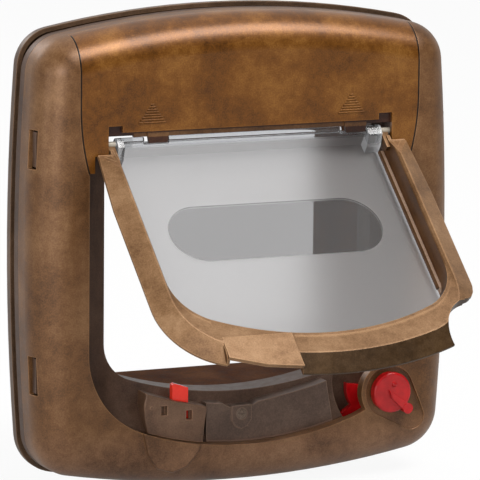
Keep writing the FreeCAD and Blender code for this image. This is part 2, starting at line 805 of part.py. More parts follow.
def sill_cover():
    span = s.sill_right - s.sill_left
    top = s.sill_top
    foot = s.mouth_bottom - s.wall * 2
    # Shares of the span along the top edge, and how far it lies below its right end
    edge = [(1.0, 0), (0.903, 2.0), (0.736, 4.5), (0.569, 6.7), (0.433, 8.3), (0.384, 10.0), (0.195, 10.4),
            (0.138, 7.9), (0, 7.0)]
    corners = [(s.sill_left, foot), (s.sill_right + span * 0.09, foot)]
    corners += [(s.sill_left + span * x, top - z) for x, z in edge]
    face = s.step_depth + s.seam_gap
    block = polygon_slab("sill_block", face, s.opening_depth, corners)
    trimmed = shared("sill_trimmed", [block, mouth_void("sill_flare", s.seat_gap)])
    boss_x, boss_z, half = s.sill_boss_x, s.sill_boss_z, s.sill_boss
    boss = polygon_slab("sill_boss", face + s.seam_gap * 2, s.step_depth - s.seam_gap * 3, [
        (boss_x - half, boss_z + half * 0.8), (boss_x - half, boss_z - half * 0.6),
        (boss_x - half * 0.6, boss_z - half * 1.2), (boss_x, boss_z - half * 1.45),
        (boss_x + half * 0.6, boss_z - half * 1.2), (boss_x + half, boss_z - half * 0.6),
        (boss_x + half, boss_z + half * 0.8)])
    body = fused("sill_body", [trimmed, boss])
    hole = pillar("sill_hole", s.sill_screw + s.running_gap, boss_x, boss_z, s.step_depth + s.wall,
                  s.opening_depth - s.wall)
    seat = pillar("sill_seat", s.sill_screw * 2 + s.running_gap, boss_x, boss_z, s.step_depth + s.wall,
                  s.step_depth - s.sill_screw / 2)
    node("sill_cover", cut("sill_cover_solid", body, fused("sill_tools", [hole, seat])))
    head = pillar("screw_head", s.sill_screw * 2, boss_x, boss_z, face + s.seam_gap,
                  s.step_depth - s.sill_screw / 2)
    shank = pillar("screw_shank", s.sill_screw, boss_x, boss_z, s.step_depth,
                   s.step_depth - s.sill_screw * 3)
    slot = box("screw_slot", boss_x - s.sill_screw * 1.5, boss_x + s.sill_screw * 1.5, face + s.wall,
               s.step_depth, boss_z - s.sill_screw / 4, boss_z + s.sill_screw / 4)
    node("sill_screw", cut("sill_screw_solid", fused("screw_body", [head, shank]), slot))


def latch_housing():
    block = polygon_slab("housing_block", s.housing_front, s.step_depth, housing_corners())
    face = s.housing_front.value
    block = rounded("housing_round", block, s.wall * 0.3, lambda edge: lies_at(edge, face))
    rear = polygon_slab("housing_rear", s.step_depth, s.opening_depth + 1, housing_corners())
    rear = shared("housing_rear_trim", [rear, mouth_void("housing_flare", s.seat_gap)])
    body = fused("housing_body", [block, rear])
    lip = u_slab("housing_lip", s.front_depth + s.wall, s.opening_depth, s.mouth_half - s.seam_gap,
                 s.mouth_top, s.mouth_bottom + s.seam_gap, s.mouth_bow - s.seam_gap,
                 s.mouth_corner - s.seam_gap)
    body = shared("housing_fit", [body, lip])
    tab_way = box("tab_way", s.tab_left - s.guide_gap, s.tab_right + s.guide_gap,
                  s.tab_front + s.guide_gap, s.tab_back - s.guide_gap, s.tab_foot - 1,
                  s.housing_top + s.wall)
    # Two small rectangular windows in the face, and a moulded pip beside them
    windows = []
    for side, x, z in (("left", 0.292, -0.312), ("right", 0.70, -0.418)):
        centre_x = s.housing_left + s.housing_width * x
        centre_z = s.housing_top + s.housing_height * z
        half_x = s.housing_width * 0.05
        half_z = s.housing_height * 0.08
        windows.append(box("housing_window_" + side, centre_x - half_x, centre_x + half_x,
                           s.housing_front + s.wall, s.tab_front + s.guide_gap, centre_z - half_z,
                           centre_z + half_z))
    pip = pillar("housing_pip", s.wall * 0.36, s.housing_left + s.housing_width * 0.08,
                 s.housing_top - s.housing_height * 0.25, s.housing_front + s.seam_gap, s.step_depth)
    body = fused("housing_pipped", [body, pip])
    node("latch_housing", cut("latch_housing_solid", body, fused("housing_tools", [tab_way] + windows)))


def latch():
    slope = 2.6
    corners = [
        (s.tab_left, s.tab_foot), (s.tab_right, s.tab_foot),
        (s.tab_right, s.tab_top - slope), (s.tab_left + 1.2, s.tab_top), (s.tab_left, s.tab_top - 0.8)]
    body = polygon_slab("tab_body", s.tab_front, s.tab_back, corners)
    centre = (s.tab_left + s.tab_right) / 2
    pocket = pillar("tab_pocket", 3.05, centre, s.tab_foot + 5, s.tab_front + 1, s.tab_back + 0.8)
    node("latch_tab", cut("latch_tab_solid", body, pocket))
    magnet = pillar("magnet", 3.0, centre, s.tab_foot + 5, s.tab_front, s.tab_back + 0.8)
    node("latch_magnet", magnet)


def hinge_bearings():
    low = s.lug_bottom + 0.6
    for side, sign in (("left", -1), ("right", 1)):
        near, far = on_side(sign, s.notch_outer + s.seam_gap * 1.4, s.mouth_half - s.seam_gap * 1.7)
        front = s.front_depth - s.wall - 0.3
        high = s.hinge_level + s.pin_radius * 5
        block = box("bearing_block_" + side, near, far, front, s.step_depth - s.seam_gap, low, high)
        back = box("bearing_back_" + side, near, far, s.step_depth, s.opening_depth + 3.5, low + 1, high)
        body = fused("bearing_body_" + side, [block, back])
        bore = rod("bearing_bore_" + side, s.pin_radius + s.running_gap, -s.pin_reach - 0.4,
                   s.pin_reach + 0.4, s.hinge_depth, s.hinge_level)
        flare = mouth_void("bearing_flare_" + side, s.seat_gap)
        jamb = u_slab("bearing_jamb_" + side, s.front_depth, s.step_depth, s.mouth_half - s.seat_gap,
                      s.mouth_top - s.seam_gap, s.mouth_bottom, s.mouth_bow, s.mouth_corner)
        space = fused("bearing_space_" + side, [flare, jamb])
        body = shared("bearing_fit_" + side, [body, space])
        node("hinge_bearing_" + side, cut("bearing_solid_" + side, body, bore))


def flap_outline(name, rise, half, start, drop, bow, corner):
    drawing = sketch(name, flap_depth(rise))
    u_outline(drawing, half, flap_level(start), flap_level(drop), bow, corner)
    return drawing


def flap_slab(name, high, low, half, start, drop, bow, corner):
    drawing = flap_outline(name + "_outline", high, half, start, drop, bow, corner)
    return extrude(name, drawing, measure(high) - low)


def flap_frame():
    rim_top = s.rim_rise + s.rim_edge
    edge = flap_slab("rim_edge_slab", rim_top, s.rim_rise, s.rim_half, s.rim_start, s.rim_drop,
                     s.rim_bow, s.rim_corner)
    slope = loft("rim_slope", [
        flap_outline("rim_foot", rim_top, s.rim_half, s.rim_start, s.rim_drop, s.rim_bow, s.rim_corner),
        flap_outline("rim_crest", s.crest_rise, s.crest_half, s.rim_start, s.crest_drop,
                     s.crest_bow, s.crest_corner)])
    wall = flap_slab("frame_wall_slab", s.crest_rise - 1.5, s.frame_back, s.flange_half + s.frame_wall,
                     4.5, s.flange_drop + s.frame_wall, s.flange_bow + s.frame_wall,
                     s.flange_corner + s.frame_wall)
    # The rim is a shell, closed at the ends of its two gaps
    under = loft("rim_under", [
        flap_outline("rim_under_foot", s.rim_rise - 0.01, s.rim_half - 1.8, s.rim_start + 2,
                     s.rim_drop - 1.8, s.rim_bow - 1.8, s.rim_corner - 1.8),
        flap_outline("rim_under_crest", s.crest_rise - 1.8, s.crest_half + 0.4, s.rim_start + 2,
                     s.crest_drop + 0.4, s.crest_bow + 0.4, s.crest_corner + 0.4)])
    ribs = [wall, box("rib_by_relief", s.relief_left - 2, s.relief_right + 2, flap_depth(10),
                      flap_depth(-10), flap_level(s.rim_drop + 5), flap_level(122))]
    ribs.append(pillar("rib_by_notch", s.notch_radius + 5.5, s.dial_x, s.dial_z, flap_depth(10),
                       flap_depth(-10)))
    under = cut("rim_under_kept", under, fused("rim_ribs", ribs))
    # Level tongue beyond the crest, where the rim is left out over the catch housing
    bow = s.rim_bow
    reach_left = flap_level(s.rim_drop) + bow - root(bow * bow - s.relief_left * s.relief_left)
    reach_right = flap_level(s.rim_drop) + bow - root(bow * bow - s.relief_right * s.relief_right)
    tongue = polygon_slab("tongue", flap_depth(s.crest_rise), flap_depth(s.crest_rise - 2.3), [
        (s.relief_left, flap_level(136)), (s.relief_left, reach_left + 1.4),
        (s.relief_left / 2 + s.relief_right / 2, flap_level(s.rim_drop) + 5.4),
        (s.relief_right, reach_right + 1.4), (s.relief_right, flap_level(136))])
    relief = box("relief", s.relief_left, s.relief_right, s.housing_front + s.housing_gap,
                 flap_depth(s.frame_back - 2), flap_level(s.rim_drop + 5), flap_level(122))
    rim_relief = polygon_slab("rim_relief", flap_depth(s.crest_rise - 2.3), flap_depth(s.rim_rise - 1), [
        (s.relief_left, flap_level(137.5)), (s.relief_left, flap_level(s.rim_drop + 5)),
        (s.relief_right, flap_level(s.rim_drop + 5)), (s.relief_right, flap_level(147.5))])
    body = fused("frame_ring", [edge, slope, wall])
    body = cut("frame_relieved", body, fused("frame_reliefs", [relief, rim_relief, under]))
    # Window that the clear panel shows through, with a sloped shelf round it
    shelf = loft("shelf", [
        flap_outline("shelf_top", s.crest_rise + 0.01, s.crest_half - 0.6, -30, s.crest_drop - 0.8,
                     s.crest_bow - 0.8, s.crest_corner - 0.8),
        flap_outline("shelf_foot", s.flange_rise, s.flange_half, -30, s.flange_drop,
                     s.flange_bow, s.flange_corner)])
    window = flap_slab("frame_window", s.crest_rise + 5, s.frame_back - 5, s.flange_half, -30,
                       s.flange_drop, s.flange_bow, s.flange_corner)
    notch = pillar("lock_notch", s.notch_radius, s.dial_x, s.dial_z, flap_depth(s.crest_rise + 3),
                   flap_depth(s.frame_back - 3))
    notch_wide = pillar("lock_notch_wide", s.notch_wide, s.dial_x + s.notch_shift, s.dial_z + s.notch_raise,
                        flap_depth(s.crest_rise + 3), flap_depth(s.frame_back - 3))
    # The rim's tip above the notch is rounded off
    tip_x = s.rim_half
    tip_z = s.dial_z + s.notch_raise + s.notch_wide
    tip = polygon_slab("rim_tip", flap_depth(s.crest_rise + 3), flap_depth(s.frame_back - 3), [
        (tip_x + 0.6, tip_z + 18), (tip_x - 0.2, tip_z + 10.5), (tip_x - 1.6, tip_z + 6.3),
        (tip_x - 3.8, tip_z + 3.1), (tip_x - 6.8, tip_z + 1.1), (tip_x - 9.8, tip_z + 0.2),
        (tip_x - 9.8, tip_z - 9), (tip_x + 7, tip_z - 9), (tip_x + 7, tip_z + 18)])
    lobe_way = pillar("lobe_way", s.lobe_radius + s.lobe_room, s.dial_x, s.dial_z,
                      flap_depth(s.rim_rise), flap_depth(s.frame_back - 3))
    # Towards the hinge the crest falls away and the rim narrows, clear of the hood
    ends = [side_slab("crest_fall", -s.rim_half - 5, s.rim_half + 5, [
        (flap_depth(s.crest_rise + 5), flap_level(24)), (flap_depth(s.crest_rise + 0.6), flap_level(24)),
        (flap_depth(s.crest_rise), flap_level(20.5)), (flap_depth(3.2), flap_level(14)),
        (flap_depth(0.9), flap_level(8.4)), (flap_depth(0.9), flap_level(-10)),
        (flap_depth(s.crest_rise + 5), flap_level(-10))])]
    for side, sign in (("left", -1), ("right", 1)):
        ends.append(polygon_slab("taper_" + side, flap_depth(s.crest_rise + 5), flap_depth(s.rim_rise - 5), [
            (s.taper_half * sign, flap_level(s.rim_start - 5)),
            (s.taper_half * sign, flap_level(s.rim_start)),
            (s.rim_half * sign, flap_level(s.taper_end)), ((s.rim_half + 5) * sign, flap_level(s.taper_end)),
            ((s.rim_half + 5) * sign, flap_level(s.rim_start - 5))]))
    body = cut("frame_opened", body, fused("frame_tools", [shelf, window, notch, notch_wide, tip,
                                                        lobe_way] + ends))
    pieces = [body, tongue]
    for side, sign in (("left", -1), ("right", 1)):
        near, far = on_side(sign, s.ledge_half, s.flange_half + 0.5)
        pieces.append(box("ledge_" + side, near, far, flap_depth(s.ledge_rise), flap_depth(s.frame_back),
                          flap_level(104), flap_level(8)))
        near, far = on_side(sign, 76.4, s.crest_half)
        collar = s.pin_radius + 1.3
        cradle = rod("cradle_" + side, collar, near, far, s.hinge_depth, s.hinge_level)
        web = side_slab("web_" + side, near, far, [
            (flap_depth(-collar), flap_level(12)), (flap_depth(-collar), flap_level(0)),
            (flap_depth(0), flap_level(0)), (flap_depth(0), flap_level(12))])
        saddle = fused("saddle_" + side, [cradle, web])
        above = box("saddle_open_" + side, near - 1, far + 1, flap_depth(8), flap_depth(-8),
                    flap_level(0.2), flap_level(-8))
        ahead = box("saddle_front_" + side, near - 1, far + 1, flap_depth(8), flap_depth(0.2),
                    flap_level(6.5), flap_level(-8))
        opened = cut("saddle_half_" + side, saddle, fused("saddle_tools_" + side, [above, ahead]))
        pieces.append(opened)
    body = fused("frame_all", pieces)
    pin_way = rod("pin_way", s.pin_radius + s.running_gap, -s.crest_half - 1, s.crest_half + 1,
                  s.hinge_depth, s.hinge_level)
    node("flap_frame", swung(cut("flap_frame_solid", body, pin_way)))


def flap_panel():
    sheet_slab = flap_slab("panel_sheet", s.panel_rise, s.panel_rise - s.panel_thick, s.panel_half, -1.0,
                           s.panel_drop, s.panel_bow, s.panel_corner)
    crank = box("panel_crank", -s.panel_half, s.panel_half, flap_depth(0),
                flap_depth(s.panel_rise - s.panel_thick),
                flap_level(1.2), flap_level(-1.0))
    knuckles = []
    lug_end = s.panel_half - s.seat_gap * 10
    for name, left, right in (("left", -lug_end, s.bead_left), ("middle", s.bead_middle_left,
                                                               s.bead_middle_right)):
        knuckles.append(rod("knuckle_" + name, s.bead_radius, left, right, flap_depth(s.bead_rise),
                            flap_level(s.bead_drop)))
        knuckles.append(box("knuckle_foot_" + name, left, right, flap_depth(s.bead_rise), flap_depth(-2),
                            flap_level(1.2), flap_level(s.bead_drop)))
    # A lug at each end carries the pin
    for name, left, right in (("left", -lug_end, s.bead_left * 1.2), ("right", s.bead_right, lug_end)):
        radius = s.lug_radius
        knuckles.append(rod("lug_" + name, radius, left, right, s.hinge_depth, s.hinge_level))
        knuckles.append(side_slab("lug_web_" + name, left, right, [
            (flap_depth(radius), flap_level(0)), (flap_depth(radius * 0.7), flap_level(s.lug_drop * 0.6)),
            (flap_depth(s.panel_rise / 2), flap_level(s.lug_drop)),
            (flap_depth(s.panel_rise - 1), flap_level(s.lug_drop)),
            (flap_depth(s.panel_rise - 1), flap_level(0))]))
    pins = rod("panel_pins_left", s.pin_radius, -s.pin_reach, -74, s.hinge_depth, s.hinge_level)
    pins_right = rod("panel_pins_right", s.pin_radius, 74, s.pin_reach, s.hinge_depth, s.hinge_level)
    body = fused("panel_body", [sheet_slab, crank, pins, pins_right] + knuckles)
    # A shallow stadium, polished clear, across the middle of the panel
    patch_core = box("patch_core", s.patch_radius - s.patch_half, s.patch_half - s.patch_radius,
                     flap_depth(s.panel_rise + 1), flap_depth(s.panel_rise - s.patch_depth),
                     flap_level(s.patch_drop + s.patch_radius), flap_level(s.patch_drop - s.patch_radius))
    ends = []
    for side, sign in (("left", -1), ("right", 1)):
        ends.append(pillar("patch_end_" + side, s.patch_radius, (s.patch_half - s.patch_radius) * sign,
                           flap_level(s.patch_drop), flap_depth(s.panel_rise + 1),
                           flap_depth(s.panel_rise - s.patch_depth)))
    patch = fused("patch", [patch_core] + ends)
    tab_notch = box("tab_notch", s.tab_left - 1.6, s.tab_right + 1.6, flap_depth(s.panel_rise + 2),
                    flap_depth(s.panel_rise - s.panel_thick - 2), flap_level(s.panel_drop + 3),
                    flap_level(128.0))
    node("flap_panel", swung(cut("flap_panel_solid", body, fused("panel_tools", [patch, tab_notch]))))


def sector(name, radius, front, back, start, end):
    """A wedge of a disc about the lock's axis, between two angles in the front view."""
    mid = (start + end) / 2
    half = (end - start) / 2
    reach = radius / math.cos(math.radians(half / 2))
    rays = [start, start + half / 2, mid, end - half / 2, end]
    corners = [(s.dial_x, s.dial_z)]
    for index, angle in enumerate(rays):
        length = reach if index in (1, 3) else radius
        turn = math.radians(angle)
        corners.append((s.dial_x + length * math.cos(turn), s.dial_z + length * math.sin(turn)))
    wedge = polygon_slab(name + "_wedge", front, back, corners)
    disc = pillar(name + "_disc", radius, s.dial_x, s.dial_z, front, back)
    return shared(name, [wedge, disc])


def lock():
    back = s.dial_front - s.dial_thick
    disc = pillar("dial_disc", s.dial_radius, s.dial_x, s.dial_z, s.dial_front, back)
    front = s.dial_front.value
    disc = rounded("dial_round", disc, 1.2, lambda edge: lies_at(edge, front))
    pointer = polygon_slab("pointer_arm", s.dial_front + 1.6, s.front_depth + 0.4, [
        (s.dial_x - 2.4, s.dial_z + 1.6), (s.dial_x - 1.2, s.dial_z - 2.6),
        (s.dial_x + 6.6, s.dial_z - 10.2), (s.dial_x + 10.2, s.dial_z - 7.0)])
    bulb = pillar("pointer_bulb", 2.9, s.dial_x + 8.4, s.dial_z - 8.8, s.dial_front + 1.8,
                  s.front_depth + 0.4)
    pip = document.addObject("Part::Sphere", "dial_pip")
    bind(pip, "Radius", 1.5)
    bind(pip, "Placement.Base.x", s.dial_x + 0.8)
    bind(pip, "Placement.Base.y", -s.dial_front)
    bind(pip, "Placement.Base.z", s.dial_z + 4.7)
    spindle = pillar("spindle", s.spindle_radius, s.dial_x, s.dial_z, back + 0.5, s.front_lobe + 0.3)
    neck = pillar("spindle_neck", 2.6, s.dial_x, s.dial_z, s.front_lobe + 1, s.front_lobe - 6)
    body = fused("dial_body", [disc, pointer, bulb, pip, spindle, neck])
    pilot = pillar("dial_pilot", s.cam_screw + s.seat_gap, s.dial_x, s.dial_z, s.front_lobe + 0.5,
                   s.front_lobe - 7)
    node("lock_dial", cut("lock_dial_solid", body, pilot))
    hub = pillar("cam_hub", s.spindle_radius + 2, s.dial_x, s.dial_z, s.front_lobe,
                 s.rear_lobe - s.lobe_thick)
    journal = pillar("cam_journal", s.spindle_radius - 1, s.dial_x, s.dial_z, s.rear_lobe, 4)
    # Each lobe blocks one way of the flap: the front one inwards, the rear one outwards
    front_lobe = sector("front_lobe", s.lobe_radius, s.front_lobe, s.front_lobe - s.lobe_thick, -55, 55)
    rear_lobe = sector("rear_lobe", s.lobe_radius, s.rear_lobe, s.rear_lobe - s.lobe_thick, -145, -35)
    rear_disc = sector("rear_disc", s.lobe_disc, s.rear_lobe, s.rear_lobe - s.lobe_thick, 172, 325)
    body = fused("cam_body", [hub, journal, front_lobe, rear_lobe, rear_disc])
    socket = pillar("cam_socket", 2.6 + s.seat_gap, s.dial_x, s.dial_z, s.front_lobe + 2, s.front_lobe - 6)
    way = pillar("cam_way", s.cam_screw + s.seat_gap, s.dial_x, s.dial_z, s.front_lobe, 0)
    node("lock_cam", cut("lock_cam_solid", body, fused("cam_tools", [socket, way])))
    screw_head = pillar("cam_screw_head", s.spindle_radius - 1.4, s.dial_x, s.dial_z, 4, 2)
    screw_shank = pillar("cam_screw_shank", s.cam_screw, s.dial_x, s.dial_z, s.front_lobe - 1, 3)
    node("cam_screw", fused("cam_screw_solid", [screw_head, screw_shank]))


def exterior_frame():
    face = s.outer_edge + s.outer_round
    start = -s.door_gap
    end = start - face
    skin = bowed_slab("outer_skin", start, end, s.outer_half_width, s.outer_half_height, 0)
    rear = end.value
    skin = rounded("outer_skin_round", skin, s.outer_round, lambda edge: lies_at(edge, rear))
    hollow = bowed_slab("outer_hollow", start + 1, end + s.wall, s.outer_half_width, s.outer_half_height,
                        s.wall)
    half = s.tunnel_half + s.tunnel_wall + s.sleeve_gap
    low = s.tunnel_bottom - s.tunnel_wall - s.sleeve_gap
    high = s.tunnel_top + s.tunnel_wall + s.sleeve_gap
    wall = s.wall
    sleeve = box("sleeve", -half - wall, half + wall, start, -s.sleeve_back, low - wall, high + wall)
    pieces = [cut("outer_form", skin, hollow), sleeve]
    for x in (-1, 1):
        for z in (-1, 1):
            name = "outer_boss_" + str(x) + str(z)
            pieces.append(pillar(name, s.boss_radius, s.screw_x * x, s.screw_z * z, start, end + 1))
    body = fused("outer_body", pieces)
    passage = box("outer_passage", -half, half, 5, -s.sleeve_back - 5, low, high)
    tools = [passage]
    for x in (-1, 1):
        for z in (-1, 1):
            name = "outer_hole_" + str(x) + str(z)
            tools.append(pillar(name, s.screw_hole, s.screw_x * x, s.screw_z * z, 5, end - 5))
    node("exterior_frame", cut("exterior_frame_solid", body, fused("outer_tools", tools)))


front_shell()
hood_cover()
base_plate()
tunnel_liner()
sill_cover()
latch_housing()
latch()
hinge_bearings()
flap_frame()
flap_panel()
lock()
exterior_frame()
document.recompute()

# Nothing is written unless every object is sound
for item in document.Objects:
    if "Invalid" in item.State or "Error" in item.State:
        raise RuntimeError(item.Name + " did not recompute: " + ", ".join(item.State))
for name, solid in nodes.items():
    shape = solid.Shape
    if shape.isNull() or not shape.isValid() or not shape.Solids:
        raise RuntimeError(name + " has no valid solid")
for name, solid in nodes.items():
    solid.Shape.exportStep("parts/" + name + ".step")
    centre = solid.Shape.BoundBox
    print(name, len(solid.Shape.Solids), "solid(s)", round(solid.Shape.Volume / 1000, 2), "cm3",
          [round(v, 1) for v in (centre.XMin, centre.XMax, centre.YMin, centre.YMax,
                                  centre.ZMin, centre.ZMax)])
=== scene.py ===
import bmesh
import bpy
import math
from mathutils import Matrix, Vector


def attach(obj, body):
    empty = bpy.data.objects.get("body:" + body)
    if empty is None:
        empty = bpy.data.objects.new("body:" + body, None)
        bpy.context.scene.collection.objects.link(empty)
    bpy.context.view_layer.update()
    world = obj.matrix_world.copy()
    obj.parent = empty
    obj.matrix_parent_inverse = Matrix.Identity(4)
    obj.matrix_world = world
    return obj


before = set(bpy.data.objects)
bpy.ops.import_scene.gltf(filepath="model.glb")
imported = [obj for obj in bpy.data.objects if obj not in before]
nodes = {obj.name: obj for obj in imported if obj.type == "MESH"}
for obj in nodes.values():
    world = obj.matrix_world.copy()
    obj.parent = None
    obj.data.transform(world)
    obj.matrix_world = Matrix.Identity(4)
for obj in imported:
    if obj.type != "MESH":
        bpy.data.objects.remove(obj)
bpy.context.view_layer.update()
print("frame loaded:", len(nodes), "nodes")

# Lengths are in metres, angles in degrees

view = {
    "turn": 23.646,        # to the left of the flap's own axis
    "lift": 9.601,         # above the horizon
    "roll": -0.536,
    "distance": 2.33237,
    "target": (0.008482, 0.0, 0.000037),
    "lens": 326.912,       # mm, on a sensor of the width below
    "sensor": 36.0,
    "nearest": 0.1,
    "farthest": 60.0,
}

studio = {
    "floorLevel": -0.1287,
    "floorSize": 14.0,
    "floorColour": (0.36, 0.35, 0.34, 1.0),
    "floorSeen": (0.9, 0.9, 0.9, 1.0),
    "floorGlow": 0.92,     # share of plain white in what the camera sees of the floor
    "glossShare": 0.30,    # how much of that white polished faces see
    "ambient": 0.32,
    "darkFront": 0.02,     # what polished faces see where the viewer stands
    "brightBack": 0.65,    # and what they see behind the object
    "frontToBack": (-0.35, 0.6),
    "white": (1.0, 1.0, 1.0, 1.0),
    "lamps": (
        # name, place, width, height, watts, colour
        ("keyLamp", (0.60, -1.10, 1.95), 1.5, 0.9, 42.0, (1.0, 0.985, 0.965)),
        ("fillLamp", (-1.30, -1.65, 0.55), 1.0, 0.9, 19.0, (1.0, 0.985, 0.97)),
        ("topLamp", (0.2, 0.1, 2.1), 3.2, 1.6, 9.0, (1.0, 0.99, 0.98)),
        ("backLamp", (-0.9, 2.1, 1.3), 1.4, 0.9, 12.0, (1.0, 0.99, 0.98)),
        ("leftLamp", (-1.9, -0.55, 0.1), 0.5, 1.3, 6.0, (0.99, 0.985, 0.98)),
    ),
}


def placeCamera():
    turn, lift, roll = (math.radians(view[key]) for key in ("turn", "lift", "roll"))
    ahead = Vector((math.sin(turn) * math.cos(lift), math.cos(turn) * math.cos(lift),
                    -math.sin(lift)))
    right = Vector((math.cos(turn), -math.sin(turn), 0.0))
    down = ahead.cross(right)
    sideways = right * math.cos(roll) + down * math.sin(roll)
    upwards = right * math.sin(roll) - down * math.cos(roll)
    data = bpy.data.cameras.new("photoCamera")
    data.sensor_width = view["sensor"]
    data.lens = view["lens"]
    data.clip_start = view["nearest"]
    data.clip_end = view["farthest"]
    camera = bpy.data.objects.new("photoCamera", data)
    turned = Matrix((sideways, upwards, -ahead)).transposed().to_4x4()
    turned.translation = Vector(view["target"]) - ahead * view["distance"]
    camera.matrix_world = turned
    bpy.context.scene.collection.objects.link(camera)
    bpy.context.scene.camera = camera


def addLamp(name, place, width, height, watts, colour):
    data = bpy.data.lights.new(name, "AREA")
    data.shape = "RECTANGLE"
    data.size = width
    data.size_y = height
    data.energy = watts
    data.color = colour
    lamp = bpy.data.objects.new(name, data)
    lamp.location = place
    lamp.rotation_euler = (-Vector(place)).to_track_quat("-Z", "Y").to_euler()
    bpy.context.scene.collection.objects.link(lamp)


def linkTo(tree, source, target):
    tree.links.new(source, target)


def feed(tree, value, socket):
    # A socket gets either a plain value or a link
    if isinstance(value, (int, float, tuple)):
        socket.default_value = value
    else:
        linkTo(tree, value, socket)


def newNode(tree, kind, **settings):
    made = tree.nodes.new(kind)
    for key, value in settings.items():
        setattr(made, key, value)
    return made


def mathNode(tree, operation, first, second=None, clamp=False):
    made = newNode(tree, "ShaderNodeMath", operation=operation, use_clamp=clamp)
    for socket, value in zip(made.inputs, (first, second)):
        if value is not None:
            feed(tree, value, socket)
    return made.outputs[0]


def times(tree, first, second):
    return mathNode(tree, "MULTIPLY", first, second)


def spread(tree, value, low, high, fromLow=0.0, fromHigh=1.0, smooth=False):
    made = newNode(tree, "ShaderNodeMapRange")
    if smooth:
        made.interpolation_type = "SMOOTHSTEP"
    made.inputs["From Min"].default_value = fromLow
    made.inputs["From Max"].default_value = fromHigh
    made.inputs["To Min"].default_value = low
    made.inputs["To Max"].default_value = high
    linkTo(tree, value, made.inputs["Value"])
    return made.outputs["Result"]


def rising(tree, value, limits, smooth=False):
    return spread(tree, value, 0.0, 1.0, *limits, smooth)


def falling(tree, value, limits, smooth=False):
    return spread(tree, value, 1.0, 0.0, *limits, smooth)


def mixColour(tree, share, first, second):
    made = newNode(tree, "ShaderNodeMixRGB")
    for socket, value in zip(made.inputs, (share, first, second)):
        feed(tree, value, socket)
    return made.outputs[0]


def along(tree, place, name):
    split = newNode(tree, "ShaderNodeSeparateXYZ")
    linkTo(tree, place, split.inputs[0])
    return split.outputs[name]


def raySwitch(tree):
    path = newNode(tree, "ShaderNodeLightPath")
    seen = mathNode(tree, "ADD", path.outputs["Is Camera Ray"],
                    path.outputs["Is Transmission Ray"], True)
    return seen, path.outputs["Is Glossy Ray"]


def makeWorld():
    world = bpy.data.worlds.new("studioWorld")
    bpy.context.scene.world = world
    world.use_nodes = True
    tree = world.node_tree
    tree.nodes.clear()
    seen, glossy = raySwitch(tree)
    direction = newNode(tree, "ShaderNodeTexCoord").outputs["Generated"]
    # Polished faces see white behind the object and dark where the viewer stands
    band = spread(tree, along(tree, direction, "Y"), studio["darkFront"], studio["brightBack"],
                  *studio["frontToBack"], True)
    shine = times(tree, glossy, band)
    plain = times(tree, mathNode(tree, "SUBTRACT", 1.0, glossy), studio["ambient"])
    strength = mathNode(tree, "MAXIMUM", mathNode(tree, "ADD", shine, plain), seen)
    back = newNode(tree, "ShaderNodeBackground")
    back.inputs["Color"].default_value = studio["white"]
    linkTo(tree, strength, back.inputs["Strength"])
    out = newNode(tree, "ShaderNodeOutputWorld")
    linkTo(tree, back.outputs[0], out.inputs["Surface"])


def makeFloor():
    half = studio["floorSize"] / 2
    level = studio["floorLevel"]
    mesh = bpy.data.meshes.new("studioFloor")
    corners = [(-half, -half, level), (half, -half, level),
               (half, half, level), (-half, half, level)]
    mesh.from_pydata(corners, [], [(0, 1, 2, 3)])
    floor = bpy.data.objects.new("studioFloor", mesh)
    bpy.context.scene.collection.objects.link(floor)
    material = bpy.data.materials.new("studioFloorPaint")
    material.use_nodes = True
    tree = material.node_tree
    tree.nodes.clear()
    seen, glossy = raySwitch(tree)
    shown = mathNode(tree, "MAXIMUM", seen, times(tree, glossy, studio["glossShare"]))
    paint = newNode(tree, "ShaderNodeBsdfDiffuse")
    linkTo(tree, mixColour(tree, shown, studio["floorColour"], studio["floorSeen"]),
           paint.inputs["Color"])
    glow = newNode(tree, "ShaderNodeEmission")
    glow.inputs["Color"].default_value = studio["white"]
    mix = newNode(tree, "ShaderNodeMixShader")
    linkTo(tree, times(tree, shown, studio["floorGlow"]), mix.inputs["Fac"])
    linkTo(tree, paint.outputs[0], mix.inputs[1])
    linkTo(tree, glow.outputs[0], mix.inputs[2])
    out = newNode(tree, "ShaderNodeOutputMaterial")
    linkTo(tree, mix.outputs[0], out.inputs["Surface"])
    mesh.materials.append(material)


bpy.context.scene.view_settings.view_transform = "Standard"
placeCamera()
makeWorld()
makeFloor()
for lampFacts in studio["lamps"]:
    addLamp(*lampFacts)
print("studio ready")

